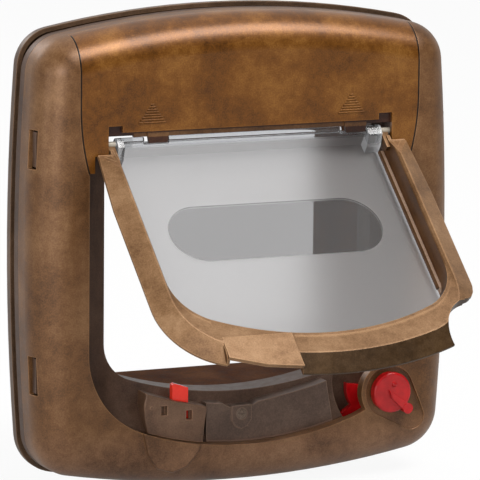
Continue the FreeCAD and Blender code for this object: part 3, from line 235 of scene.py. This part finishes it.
bronzeTones = {
    # dark, middle and light tone of the mottling
    "shell": ((0.085, 0.036, 0.012), (0.168, 0.076, 0.027), (0.27, 0.142, 0.062)),
    # paler, pinker tone towards the bottom of the shell: painted light from below
    "shellLowLight": ((0.115, 0.054, 0.026), (0.235, 0.120, 0.062), (0.36, 0.205, 0.115)),
    "hood": ((0.080, 0.026, 0.002), (0.180, 0.063, 0.006), (0.32, 0.137, 0.026)),
    # near-black tone under the hood's front wall: painted shade
    "lip": ((0.018, 0.005, 0.002), (0.042, 0.013, 0.006), (0.085, 0.032, 0.015)),
    "lipFace": ((0.070, 0.028, 0.009), (0.145, 0.064, 0.022), (0.25, 0.125, 0.052)),
    "rib": ((0.070, 0.024, 0.003), (0.150, 0.055, 0.007), (0.25, 0.105, 0.02)),
    # paler than the shell's tones: painted light, standing for the light from above on the same
    # bronze
    "flap": ((0.135, 0.066, 0.027), (0.250, 0.134, 0.061), (0.37, 0.22, 0.115)),
    # dark tone round the window: painted shade from the crest
    "inner": ((0.050, 0.019, 0.005), (0.104, 0.042, 0.012), (0.17, 0.078, 0.028)),
    "ledge": ((0.34, 0.22, 0.15), (0.50, 0.35, 0.25), (0.60, 0.46, 0.36)),
    # dark tone on the rim's downward slope: painted shade
    "skirt": ((0.026, 0.012, 0.003), (0.052, 0.025, 0.007), (0.09, 0.048, 0.018)),
    # near-black line in the joint round the hood: painted shade
    "seamShade": ((0.010, 0.005, 0.003), (0.018, 0.009, 0.005), (0.03, 0.016, 0.009)),
    "tunnel": ((0.050, 0.014, 0.004), (0.115, 0.038, 0.011), (0.20, 0.085, 0.032)),
    "base": ((0.045, 0.022, 0.013), (0.090, 0.048, 0.030), (0.14, 0.082, 0.054)),
    "outer": ((0.05, 0.027, 0.014), (0.105, 0.057, 0.03), (0.18, 0.105, 0.06)),
    "housing": ((0.07, 0.033, 0.018), (0.14, 0.074, 0.042), (0.23, 0.13, 0.078)),
    "sill": ((0.055, 0.031, 0.021), (0.105, 0.063, 0.044), (0.165, 0.105, 0.075)),
}

softEdge = 0.0005          # width over which the shading rounds an edge

# Sharp edges are painted lighter: partly worn paint, partly a painted highlight where the edges
# catch the light
edgeWearAndHighlight = {
    "width": softEdge * 2.6,
    "turned": (0.985, 0.8),     # how far the rounded and the flat direction still agree
    "samples": 6,
}

bronzeGrain = {
    # scale, detail, roughness and distortion of each layer
    "cloud": (38.0, 3.0, 0.5, 0.3),
    "mottle": (240.0, 4.0, 0.6, 0.2),
    "speck": (1250.0, 2.0, 0.65),
    "shares": (0.46, 0.24, 0.30),
    "steps": (0.36, 0.5, 0.66),
    "rubbedAndLit": 1.7,              # how much lighter than the light tone an edge is painted, for worn paint and a painted highlight
    "glossFrom": (0.3, 0.7),
    "mottleRelief": (0.07, 0.0003),
    "speckRelief": (0.10, 0.0001),
}


def startMaterial(name):
    material = bpy.data.materials.new(name)
    material.use_nodes = True
    tree = material.node_tree
    tree.nodes.clear()
    shader = newNode(tree, "ShaderNodeBsdfPrincipled")
    out = newNode(tree, "ShaderNodeOutputMaterial")
    linkTo(tree, shader.outputs[0], out.inputs["Surface"])
    place = newNode(tree, "ShaderNodeTexCoord")
    return material, tree, shader, place.outputs["Object"]


def noise(tree, place, scale, detail=3.0, roughness=0.55, distortion=0.0):
    made = newNode(tree, "ShaderNodeTexNoise")
    made.inputs["Scale"].default_value = scale
    made.inputs["Detail"].default_value = detail
    made.inputs["Roughness"].default_value = roughness
    made.inputs["Distortion"].default_value = distortion
    linkTo(tree, place, made.inputs["Vector"])
    return made.outputs["Fac"]


def ramp(tree, value, steps, tones):
    made = newNode(tree, "ShaderNodeValToRGB")
    table = made.color_ramp
    while len(table.elements) < len(steps):
        table.elements.new(0.5)
    for element, step, tone in zip(table.elements, steps, tones):
        element.position = step
        element.color = (*tone, 1.0)
    linkTo(tree, value, made.inputs["Fac"])
    return made.outputs["Color"]


def bevelNormal(tree, width):
    rounded = newNode(tree, "ShaderNodeBevel", samples=edgeWearAndHighlight["samples"])
    rounded.inputs["Radius"].default_value = width
    return rounded.outputs[0]


def relief(tree, shader, layers, edge=0.0):
    # Each layer is a height, its strength and its distance
    below = bevelNormal(tree, edge) if edge > 0.0 else None
    for height, strength, distance in layers:
        made = newNode(tree, "ShaderNodeBump")
        made.inputs["Strength"].default_value = strength
        made.inputs["Distance"].default_value = distance
        linkTo(tree, height, made.inputs["Height"])
        if below is not None:
            linkTo(tree, below, made.inputs["Normal"])
        below = made.outputs["Normal"]
    linkTo(tree, below, shader.inputs["Normal"])


def dotWith(tree, value, direction):
    made = newNode(tree, "ShaderNodeVectorMath", operation="DOT_PRODUCT")
    linkTo(tree, value, made.inputs[0])
    feed(tree, direction, made.inputs[1])
    return made.outputs["Value"]


def wornAndLitEdge(tree):
    # 0 on flat faces, rising where the surface turns sharply
    surface = newNode(tree, "ShaderNodeNewGeometry")
    agree = dotWith(tree, bevelNormal(tree, edgeWearAndHighlight["width"]), surface.outputs["Normal"])
    return rising(tree, agree, edgeWearAndHighlight["turned"])


def bronzePaint(name, tone, gloss=(0.34, 0.48), metallic=0.3, wearAndHighlight=0.5, coat=0.15, coatGloss=0.34,
                shine=0.5, patches=()):
    material, tree, shader, place = startMaterial(name)
    tones = bronzeTones[tone]
    steps = bronzeGrain["steps"]
    cloud, mottle, speck = (noise(tree, place, *bronzeGrain[layer])
                            for layer in ("cloud", "mottle", "speck"))
    shares = bronzeGrain["shares"]
    mixed = times(tree, cloud, shares[0])
    mixed = mathNode(tree, "ADD", mixed, times(tree, mottle, shares[1]))
    mixed = mathNode(tree, "ADD", mixed, times(tree, speck, shares[2]))
    colour = ramp(tree, mixed, steps, tones)
    # Edges are painted lighter here: partly worn paint, partly a painted highlight
    rubbedAndLit = (*(min(1.0, level * bronzeGrain["rubbedAndLit"]) for level in tones[2]), 1.0)
    colour = mixColour(tree, times(tree, wornAndLitEdge(tree), wearAndHighlight), colour, rubbedAndLit)
    for otherTone, mask in patches:
        other = ramp(tree, mixed, steps, bronzeTones[otherTone])
        colour = mixColour(tree, mask(tree, place), colour, other)
    linkTo(tree, colour, shader.inputs["Base Color"])
    linkTo(tree, spread(tree, mottle, *gloss, *bronzeGrain["glossFrom"]),
           shader.inputs["Roughness"])
    shader.inputs["Metallic"].default_value = metallic
    shader.inputs["Specular IOR Level"].default_value = shine
    shader.inputs["Coat Weight"].default_value = coat
    shader.inputs["Coat Roughness"].default_value = coatGloss
    layers = [(mottle, *bronzeGrain["mottleRelief"]), (speck, *bronzeGrain["speckRelief"])]
    relief(tree, shader, layers, softEdge)
    return material


bearingBrown = {
    "tones": ((0.035, 0.016, 0.010), (0.075, 0.036, 0.022)),
    "steps": (0.35, 0.65),
    "broadScale": 420.0 / 9.0,
    "grainScale": 1260.0,
    "grainDetail": 2.0,
    "shares": (0.6, 0.4),
    "gloss": (0.35, 0.5),
    "shine": 0.25,
    "relief": (0.15, 0.0001),
}


def bearingPlastic(name):
    material, tree, shader, place = startMaterial(name)
    broad = noise(tree, place, bearingBrown["broadScale"])
    grain = noise(tree, place, bearingBrown["grainScale"], bearingBrown["grainDetail"])
    mixed = mathNode(tree, "ADD", times(tree, broad, bearingBrown["shares"][0]),
                     times(tree, grain, bearingBrown["shares"][1]))
    linkTo(tree, ramp(tree, mixed, bearingBrown["steps"], bearingBrown["tones"]),
           shader.inputs["Base Color"])
    linkTo(tree, spread(tree, grain, *bearingBrown["gloss"]), shader.inputs["Roughness"])
    shader.inputs["Specular IOR Level"].default_value = bearingBrown["shine"]
    relief(tree, shader, [(grain, *bearingBrown["relief"])], softEdge)
    return material


redGloss = {
    "steps": (0.35, 0.65),
    "cloudScale": 160.0,
    "grainScale": 1800.0,
    "grainDetail": 2.0,
    "gloss": (0.16, 0.26),
    "shine": 0.3,
    "glow": 0.08,
    "glowReach": (0.004, 0.0008, 0.0005),
    "glowScale": 1.0,
    "coat": 0.35,
    "coatGloss": 0.06,
    "relief": (0.05, 0.0001),
}


def redPlastic(name, dark, light):
    material, tree, shader, place = startMaterial(name)
    cloud = noise(tree, place, redGloss["cloudScale"])
    grain = noise(tree, place, redGloss["grainScale"], redGloss["grainDetail"])
    linkTo(tree, ramp(tree, cloud, redGloss["steps"], (dark, light)), shader.inputs["Base Color"])
    linkTo(tree, spread(tree, grain, *redGloss["gloss"]), shader.inputs["Roughness"])
    shader.inputs["Specular IOR Level"].default_value = redGloss["shine"]
    shader.inputs["Subsurface Weight"].default_value = redGloss["glow"]
    shader.inputs["Subsurface Radius"].default_value = redGloss["glowReach"]
    shader.inputs["Subsurface Scale"].default_value = redGloss["glowScale"]
    shader.inputs["Coat Weight"].default_value = redGloss["coat"]
    shader.inputs["Coat Roughness"].default_value = redGloss["coatGloss"]
    relief(tree, shader, [(grain, *redGloss["relief"])], softEdge)
    return material


metalGrain = {
    "steps": (0.3, 0.7),
    "scale": 900.0,
    "drift": 0.08,         # how far the roughness strays to either side
    "relief": (0.08, 0.0001),
}


def brightMetal(name, dark, light, rough):
    material, tree, shader, place = startMaterial(name)
    grain = noise(tree, place, metalGrain["scale"])
    linkTo(tree, ramp(tree, grain, metalGrain["steps"], (dark, light)), shader.inputs["Base Color"])
    linkTo(tree, spread(tree, grain, rough - metalGrain["drift"], rough + metalGrain["drift"]),
           shader.inputs["Roughness"])
    shader.inputs["Metallic"].default_value = 1.0
    relief(tree, shader, [(grain, *metalGrain["relief"])])
    return material


flapPlace = {
    "hinge": (0.0, -0.0296, 0.060),
    "openAngle": 50.0,
    "patchHalf": 0.060,
    "patchRadius": 0.0185,
    "patchDrop": 0.056,
}

flapTurn = math.radians(flapPlace["openAngle"])
flapDown = (0.0, -math.sin(flapTurn), -math.cos(flapTurn))      # from the hinge towards the rim
flapOut = (0.0, -math.cos(flapTurn), math.sin(flapTurn))        # out of the flap's face


def fromMiddle(tree, place):
    return mathNode(tree, "ABSOLUTE", along(tree, place, "X"))


def fromHinge(tree, place, direction):
    moved = newNode(tree, "ShaderNodeVectorMath", operation="SUBTRACT")
    linkTo(tree, place, moved.inputs[0])
    moved.inputs[1].default_value = flapPlace["hinge"]
    return dotWith(tree, moved.outputs[0], direction)


def ownNormal(tree):
    facing = newNode(tree, "ShaderNodeTexCoord")
    return facing.outputs["Normal"]


def hypotenuse(tree, first, second):
    squares = mathNode(tree, "ADD", times(tree, first, first), times(tree, second, second))
    return mathNode(tree, "SQRT", squares)


clearPanel = {
    "frostTint": (0.55, 0.545, 0.55),
    "patchTint": (0.36, 0.357, 0.36),
    "beadTint": (0.60, 0.61, 0.63, 1.0),
    "edgeTint": (0.80, 0.82, 0.85, 1.0),
    "lugTint": (0.46, 0.47, 0.48, 1.0),
    "pinTint": (0.50, 0.45, 0.37, 1.0),
    # roughness
    "polished": 0.03,
    "frosted": 0.28,
    "lugRough": 0.17,
    "pinRough": 0.38,
    # share of light that passes on
    "patchClear": 0.94,
    "frostClear": 0.88,
    "edgeClear": 0.45,
    "lugClear": 0.94,
    "edgeShare": 0.8,
    # where each part begins and ends
    "patchBlur": 0.0002,
    "beadRise": (-0.0030, -0.0020),
    "lugSide": (0.0660, 0.0664),
    "edgeSide": (0.0742, 0.0748),
    "pinSide": (0.0759, 0.0760),
    # grain of the frosting
    "grain": (2600.0, 2.0),
    "cloud": (30.0, 2.0),
    "roughDrift": (-0.01, 0.02),
    "toneDrift": (-0.04, 0.04),
    "relief": (0.02, 0.0001),
    "bends": 1.49,
}


def smokedClear(name):
    material, tree, shader, place = startMaterial(name)
    side = fromMiddle(tree, place)
    rise = fromHinge(tree, place, flapOut)
    drop = fromHinge(tree, place, flapDown)
    # A stadium of polished clear plastic in the middle of the frosted sheet
    radius = flapPlace["patchRadius"]
    beyond = mathNode(tree, "SUBTRACT", side, flapPlace["patchHalf"] - radius)
    reach = mathNode(tree, "MAXIMUM", beyond, 0.0)
    beside = mathNode(tree, "SUBTRACT", drop, flapPlace["patchDrop"])
    blur = clearPanel["patchBlur"]
    frost = rising(tree, hypotenuse(tree, reach, beside), (radius - blur, radius + blur), True)
    # The bead along the hinge with its lugs, the sheet's sides and the pins
    bead = rising(tree, rise, clearPanel["beadRise"])
    lug = times(tree, bead, rising(tree, side, clearPanel["lugSide"]))
    edge = rising(tree, side, clearPanel["edgeSide"])
    pin = rising(tree, side, clearPanel["pinSide"])
    frost = times(tree, frost, mathNode(tree, "SUBTRACT", 1.0, bead))
    grain = noise(tree, place, *clearPanel["grain"])
    cloud = noise(tree, place, *clearPanel["cloud"])
    rough = spread(tree, frost, clearPanel["polished"], clearPanel["frosted"])
    rough = mathNode(tree, "ADD", rough, spread(tree, cloud, *clearPanel["roughDrift"]))
    rough = mathNode(tree, "MAXIMUM", rough, times(tree, pin, clearPanel["pinRough"]))
    rough = mathNode(tree, "MAXIMUM", rough, times(tree, lug, clearPanel["lugRough"]))
    linkTo(tree, rough, shader.inputs["Roughness"])
    toned = mathNode(tree, "ADD", frost, spread(tree, cloud, *clearPanel["toneDrift"]), True)
    tone = ramp(tree, toned, (0.0, 1.0), (clearPanel["patchTint"], clearPanel["frostTint"]))
    tone = mixColour(tree, bead, tone, clearPanel["beadTint"])
    tone = mixColour(tree, times(tree, edge, clearPanel["edgeShare"]), tone, clearPanel["edgeTint"])
    tone = mixColour(tree, lug, tone, clearPanel["lugTint"])
    tone = mixColour(tree, pin, tone, clearPanel["pinTint"])
    linkTo(tree, tone, shader.inputs["Base Color"])
    through = spread(tree, frost, clearPanel["patchClear"], clearPanel["frostClear"])
    through = times(tree, through, spread(tree, edge, 1.0, clearPanel["edgeClear"]))
    through = times(tree, through, spread(tree, lug, 1.0, clearPanel["lugClear"]))
    through = times(tree, through, mathNode(tree, "SUBTRACT", 1.0, pin))
    linkTo(tree, through, shader.inputs["Transmission Weight"])
    shader.inputs["IOR"].default_value = clearPanel["bends"]
    relief(tree, shader, [(times(tree, grain, frost), *clearPanel["relief"])])
    return material


hoodShade = {
    # where the lip, its wings and the teeth lie, behind the hood's front wall; they are painted
    # near-black as painted shade under the hood
    "behindWall": (-0.0326, -0.0323),
    "belowWings": (0.0722, 0.0724),
    "betweenNotches": (0.0731, 0.0733),
    "belowEdge": (0.0664, 0.0666),
}


# Painted shade: the parts under and behind the hood's front wall are painted near-black
def hoodUndersideShade(tree, place):
    level = along(tree, place, "Z")
    wings = times(tree, rising(tree, along(tree, place, "Y"), hoodShade["behindWall"]),
                  falling(tree, level, hoodShade["belowWings"]))
    lip = times(tree, falling(tree, fromMiddle(tree, place), hoodShade["betweenNotches"]),
                falling(tree, level, hoodShade["belowEdge"]))
    return mathNode(tree, "MAXIMUM", wings, lip)


lipBand = {
    # the lip's brown face below the shade of the hood's edge
    "half": (0.0663, 0.0665),
    "top": (0.0654, 0.0660),
    "bottom": (0.0634, 0.0638),
}


def lipFace(tree, place):
    level = along(tree, place, "Z")
    band = times(tree, falling(tree, level, lipBand["top"]), rising(tree, level, lipBand["bottom"]))
    return times(tree, falling(tree, fromMiddle(tree, place), lipBand["half"]), band)


hoodLine = {
    # the sides of the hood in the front view
    "half": 0.0965,
    "bend": 0.080,
    "sweep": 0.126,
    "halfWidth": 0.00055,
    "core": 0.6,           # share of the line that is fully dark
    "front": (-0.0195, -0.0185),
    "lowEnd": (0.0450, 0.0456),
}


def hoodSeamShade(tree, place):
    # Painted shade along the joint between the hood and the shell: a dark line wider than the gap
    # itself, standing for the shadow in the seam
    level = along(tree, place, "Z")
    centre = hoodLine["half"] - hoodLine["sweep"]
    across = mathNode(tree, "SUBTRACT", fromMiddle(tree, place), centre)
    below = mathNode(tree, "MAXIMUM", mathNode(tree, "SUBTRACT", hoodLine["bend"], level), 0.0)
    strayed = mathNode(tree, "SUBTRACT", hypotenuse(tree, across, below), hoodLine["sweep"])
    near = falling(tree, mathNode(tree, "ABSOLUTE", strayed),
                   (hoodLine["halfWidth"] * hoodLine["core"], hoodLine["halfWidth"]))
    front = times(tree, falling(tree, along(tree, place, "Y"), hoodLine["front"]),
                  rising(tree, level, hoodLine["lowEnd"]))
    return times(tree, near, front)


shellEnd = (-0.113, -0.086)     # the levels between which the shell turns paler and pinker: painted light from below


def shellLowLight(tree, place):
    return falling(tree, along(tree, place, "Z"), shellEnd, True)


flapParts = {
    "skirtSteep": (0.18, 0.34),       # how far the skirt's slope faces down the flap
    "skirtStart": (-0.024, -0.022),
    "wallUpright": (0.75, 0.85),      # how far the window's wall faces sideways
    "wallSide": (0.0785, 0.0787),
    "floorRise": (-0.0070, -0.0066),
    "ledgeMiddle": 0.0770,
    "ledgeHalf": (0.0007, 0.0009),
}


def rimSkirtShade(tree, place):
    # The rim's slope along its lower end is painted darker: painted shade on the slope that faces
    # down
    steep = rising(tree, dotWith(tree, ownNormal(tree), flapDown), flapParts["skirtSteep"])
    return times(tree, steep, rising(tree, along(tree, place, "X"), flapParts["skirtStart"]))


def windowFloor(tree, place):
    return falling(tree, fromHinge(tree, place, flapOut), flapParts["floorRise"])


def innerWallShade(tree, place):
    # Painted shade: the wall round the window, and the floor inside it, are painted dark for the
    # shade of the crest
    upright = rising(tree, fromMiddle(tree, ownNormal(tree)), flapParts["wallUpright"])
    shaded = mathNode(tree, "MAXIMUM", upright, windowFloor(tree, place))
    return times(tree, shaded, falling(tree, fromMiddle(tree, place), flapParts["wallSide"]))


def innerLedge(tree, place):
    # The narrow ledge beside the clear panel is painted a pale cream tone
    offset = mathNode(tree, "SUBTRACT", fromMiddle(tree, place), flapParts["ledgeMiddle"])
    near = falling(tree, mathNode(tree, "ABSOLUTE", offset), flapParts["ledgeHalf"])
    return times(tree, windowFloor(tree, place), near)


finishes = {
    "front_shell": bronzePaint("shellBronze", "shell", wearAndHighlight=0.6, shine=0.4,
                               patches=(("shellLowLight", shellLowLight), ("seamShade", hoodSeamShade))),
    "hood_cover": bronzePaint("hoodBronze", "hood", gloss=(0.28, 0.4), metallic=0.35, wearAndHighlight=0.25,
                              coat=0.45, coatGloss=0.30, shine=0.25,
                              patches=(("lip", hoodUndersideShade), ("lipFace", lipFace),
                                       ("seamShade", hoodSeamShade))),
    "flap_frame": bronzePaint("flapBronze", "flap", gloss=(0.3, 0.44), coat=0.05, shine=0.3,
                              patches=(("inner", innerWallShade), ("skirt", rimSkirtShade),
                                       ("ledge", innerLedge))),
    "base_plate": bronzePaint("baseBronze", "base", gloss=(0.34, 0.5), metallic=0.2, coat=0.05,
                              shine=0.35),
    "exterior_frame": bronzePaint("outerBronze", "outer", gloss=(0.34, 0.5)),
    "latch_housing": bronzePaint("housingBronze", "housing", gloss=(0.32, 0.46), metallic=0.25,
                                 wearAndHighlight=0.9, coat=0.1),
    "sill_cover": bronzePaint("sillBronze", "sill", gloss=(0.32, 0.46), metallic=0.25, wearAndHighlight=0.8,
                              coat=0.05),
    "tunnel_liner": bronzePaint("tunnelBronze", "tunnel", gloss=(0.6, 0.78), metallic=0.0, coat=0.0,
                                shine=0.06),
    "hinge_bearing_left": bearingPlastic("bearingBrown"),
    "flap_panel": smokedClear("smokedClear"),
    "lock_dial": redPlastic("dialRed", (0.42, 0.004, 0.006), (0.56, 0.008, 0.010)),
    "latch_tab": redPlastic("tabRed", (0.88, 0.028, 0.012), (0.97, 0.042, 0.018)),
    "latch_magnet": brightMetal("magnetNickel", (0.42, 0.42, 0.44), (0.6, 0.6, 0.62), rough=0.24),
    "sill_screw": brightMetal("screwBronze", (0.11, 0.08, 0.062), (0.24, 0.18, 0.14), rough=0.34),
}
finishes["hinge_bearing_right"] = finishes["hinge_bearing_left"]
finishes["lock_cam"] = finishes["lock_dial"]
finishes["cam_screw"] = finishes["sill_screw"]
ribPaint = bronzePaint("ribBronze", "rib", gloss=(0.34, 0.46), wearAndHighlight=0.0, coat=0.2, shine=0.2)

for name, node in nodes.items():
    node.data.materials.clear()
    node.data.materials.append(finishes[name])
print("finishes set:", len(finishes))


def asPlainMesh(piece, name):
    graph = bpy.context.evaluated_depsgraph_get()
    mesh = bpy.data.meshes.new_from_object(piece.evaluated_get(graph))
    mesh.name = name
    piece.modifiers.clear()
    piece.data = mesh


def flapPoint(side, drop, rise):
    hinge = Vector(flapPlace["hinge"])
    return hinge + Vector((side, 0.0, 0.0)) + drop * Vector(flapDown) + rise * Vector(flapOut)


def addPrisms(name, prisms, paint):
    # Each prism runs between two sides of the flap along one outline of drops and rises
    shape = bmesh.new()
    for first, second, outline in prisms:
        ends = [[shape.verts.new(flapPoint(side, drop, rise)) for drop, rise in outline]
                for side in (first, second)]
        shape.faces.new(ends[0])
        shape.faces.new(list(reversed(ends[1])))
        for index in range(len(outline)):
            after = (index + 1) % len(outline)
            shape.faces.new((ends[0][index], ends[1][index], ends[1][after], ends[0][after]))
    bmesh.ops.recalc_face_normals(shape, faces=shape.faces)
    mesh = bpy.data.meshes.new(name)
    shape.to_mesh(mesh)
    shape.free()
    mesh.materials.append(paint)
    piece = bpy.data.objects.new(name, mesh)
    bpy.context.scene.collection.objects.link(piece)
    return piece


rimTurn = {
    # the small web that closes the rim's left end under the tongue, in flap measures
    "left": -0.0616,
    "right": -0.0597,
    "outline": ((0.1370, -0.0008), (0.1370, 0.0042), (0.1452, 0.0046), (0.1478, 0.0040),
                (0.1489, 0.0028), (0.1494, 0.0014), (0.1500, -0.0004), (0.1490, -0.0008)),
    "round": 0.0003,
    "roundSteps": 2,
}


def makeRimTurn():
    piece = addPrisms("rimTurn", [(rimTurn["left"], rimTurn["right"], rimTurn["outline"])],
                      finishes["flap_frame"])
    rounding = piece.modifiers.new("rounding", "BEVEL")
    rounding.width = rimTurn["round"]
    rounding.segments = rimTurn["roundSteps"]
    asPlainMesh(piece, "rimTurn")
    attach(piece, "flap_frame")


makeRimTurn()
print("rim's left end closed")

armCaps = {
    # thin plates that close the hollow arms near the hinge, in flap measures
    "inner": 0.0803,
    "outer": 0.0846,
    "path": ((0.0092, 0.00118), (0.0140, 0.00315), (0.0144, 0.00326)),
    "thick": 0.0008,
}


def makeArmCaps():
    upper = list(armCaps["path"])
    lower = [(drop, rise - armCaps["thick"]) for drop, rise in reversed(upper)]
    prisms = [(sign * armCaps["inner"], sign * armCaps["outer"], upper + lower)
              for sign in (-1.0, 1.0)]
    piece = addPrisms("armCaps", prisms, finishes["flap_frame"])
    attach(piece, "flap_frame")


makeArmCaps()
print("flap arms closed")

gripRibs = {
    # two stacks of round ribs on the hood, each a little shorter than the one below
    "Count": 8,
    "Pitch": 0.00135,
    "Widest": 0.015,
    "Thickness": 0.0005,
    "Centre": 0.057,
    "Level": 0.071225,
    "Depth": -0.03445,
    "Corners": 12,
}


def pointNode(tree, x, y, z):
    made = newNode(tree, "ShaderNodeCombineXYZ")
    for socket, value in zip(made.inputs, (x, y, z)):
        feed(tree, value, socket)
    return made.outputs[0]


def ribTree():
    tree = bpy.data.node_groups.new("gripRibTree", "GeometryNodeTree")
    face = tree.interface
    face.new_socket("Geometry", in_out="INPUT", socket_type="NodeSocketGeometry")
    face.new_socket("Geometry", in_out="OUTPUT", socket_type="NodeSocketGeometry")
    for name, value in gripRibs.items():
        kind = "NodeSocketInt" if isinstance(value, int) else "NodeSocketFloat"
        face.new_socket(name, in_out="INPUT", socket_type=kind)
    face.new_socket("Paint", in_out="INPUT", socket_type="NodeSocketMaterial")
    given = tree.nodes.new("NodeGroupInput").outputs
    result = tree.nodes.new("NodeGroupOutput")
    # One rib of unit length with a round section
    spine = newNode(tree, "GeometryNodeCurvePrimitiveLine")
    spine.inputs["Start"].default_value = (-0.5, 0.0, 0.0)
    spine.inputs["End"].default_value = (0.5, 0.0, 0.0)
    section = newNode(tree, "GeometryNodeCurvePrimitiveCircle")
    linkTo(tree, given["Corners"], section.inputs["Resolution"])
    linkTo(tree, given["Thickness"], section.inputs["Radius"])
    rib = newNode(tree, "GeometryNodeCurveToMesh")
    rib.inputs["Fill Caps"].default_value = True
    linkTo(tree, spine.outputs[0], rib.inputs["Curve"])
    linkTo(tree, section.outputs[0], rib.inputs["Profile Curve"])
    # Its width falls evenly with its number in the stack
    joined = newNode(tree, "GeometryNodeJoinGeometry")
    number = newNode(tree, "GeometryNodeInputIndex")
    left = mathNode(tree, "SUBTRACT", given["Count"], number.outputs[0])
    share = mathNode(tree, "DIVIDE", left, given["Count"])
    width = times(tree, share, given["Widest"])
    for side in (-1.0, 1.0):
        line = newNode(tree, "GeometryNodeMeshLine")
        linkTo(tree, given["Count"], line.inputs["Count"])
        start = pointNode(tree, times(tree, given["Centre"], side), given["Depth"], given["Level"])
        linkTo(tree, start, line.inputs["Start Location"])
        linkTo(tree, pointNode(tree, 0.0, 0.0, given["Pitch"]), line.inputs["Offset"])
        placed = newNode(tree, "GeometryNodeInstanceOnPoints")
        linkTo(tree, line.outputs["Mesh"], placed.inputs["Points"])
        linkTo(tree, rib.outputs["Mesh"], placed.inputs["Instance"])
        linkTo(tree, pointNode(tree, width, 1.0, 1.0), placed.inputs["Scale"])
        linkTo(tree, placed.outputs["Instances"], joined.inputs[0])
    real = newNode(tree, "GeometryNodeRealizeInstances")
    linkTo(tree, joined.outputs[0], real.inputs[0])
    painted = newNode(tree, "GeometryNodeSetMaterial")
    linkTo(tree, real.outputs[0], painted.inputs["Geometry"])
    linkTo(tree, given["Paint"], painted.inputs["Material"])
    linkTo(tree, painted.outputs[0], result.inputs["Geometry"])
    return tree


def makeGripRibs():
    holder = bpy.data.objects.new("hoodGripRibs", bpy.data.meshes.new("hoodGripRibs"))
    bpy.context.scene.collection.objects.link(holder)
    tree = ribTree()
    modifier = holder.modifiers.new("ribs", "NODES")
    modifier.node_group = tree
    values = {**gripRibs, "Paint": ribPaint}
    for item in tree.interface.items_tree:
        if item.in_out == "INPUT" and item.name in values:
            modifier[item.identifier] = values[item.name]
    asPlainMesh(holder, "hoodGripRibs")
    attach(holder, "hood")
    print("grip ribs:", len(holder.data.vertices), "vertices")


makeGripRibs()
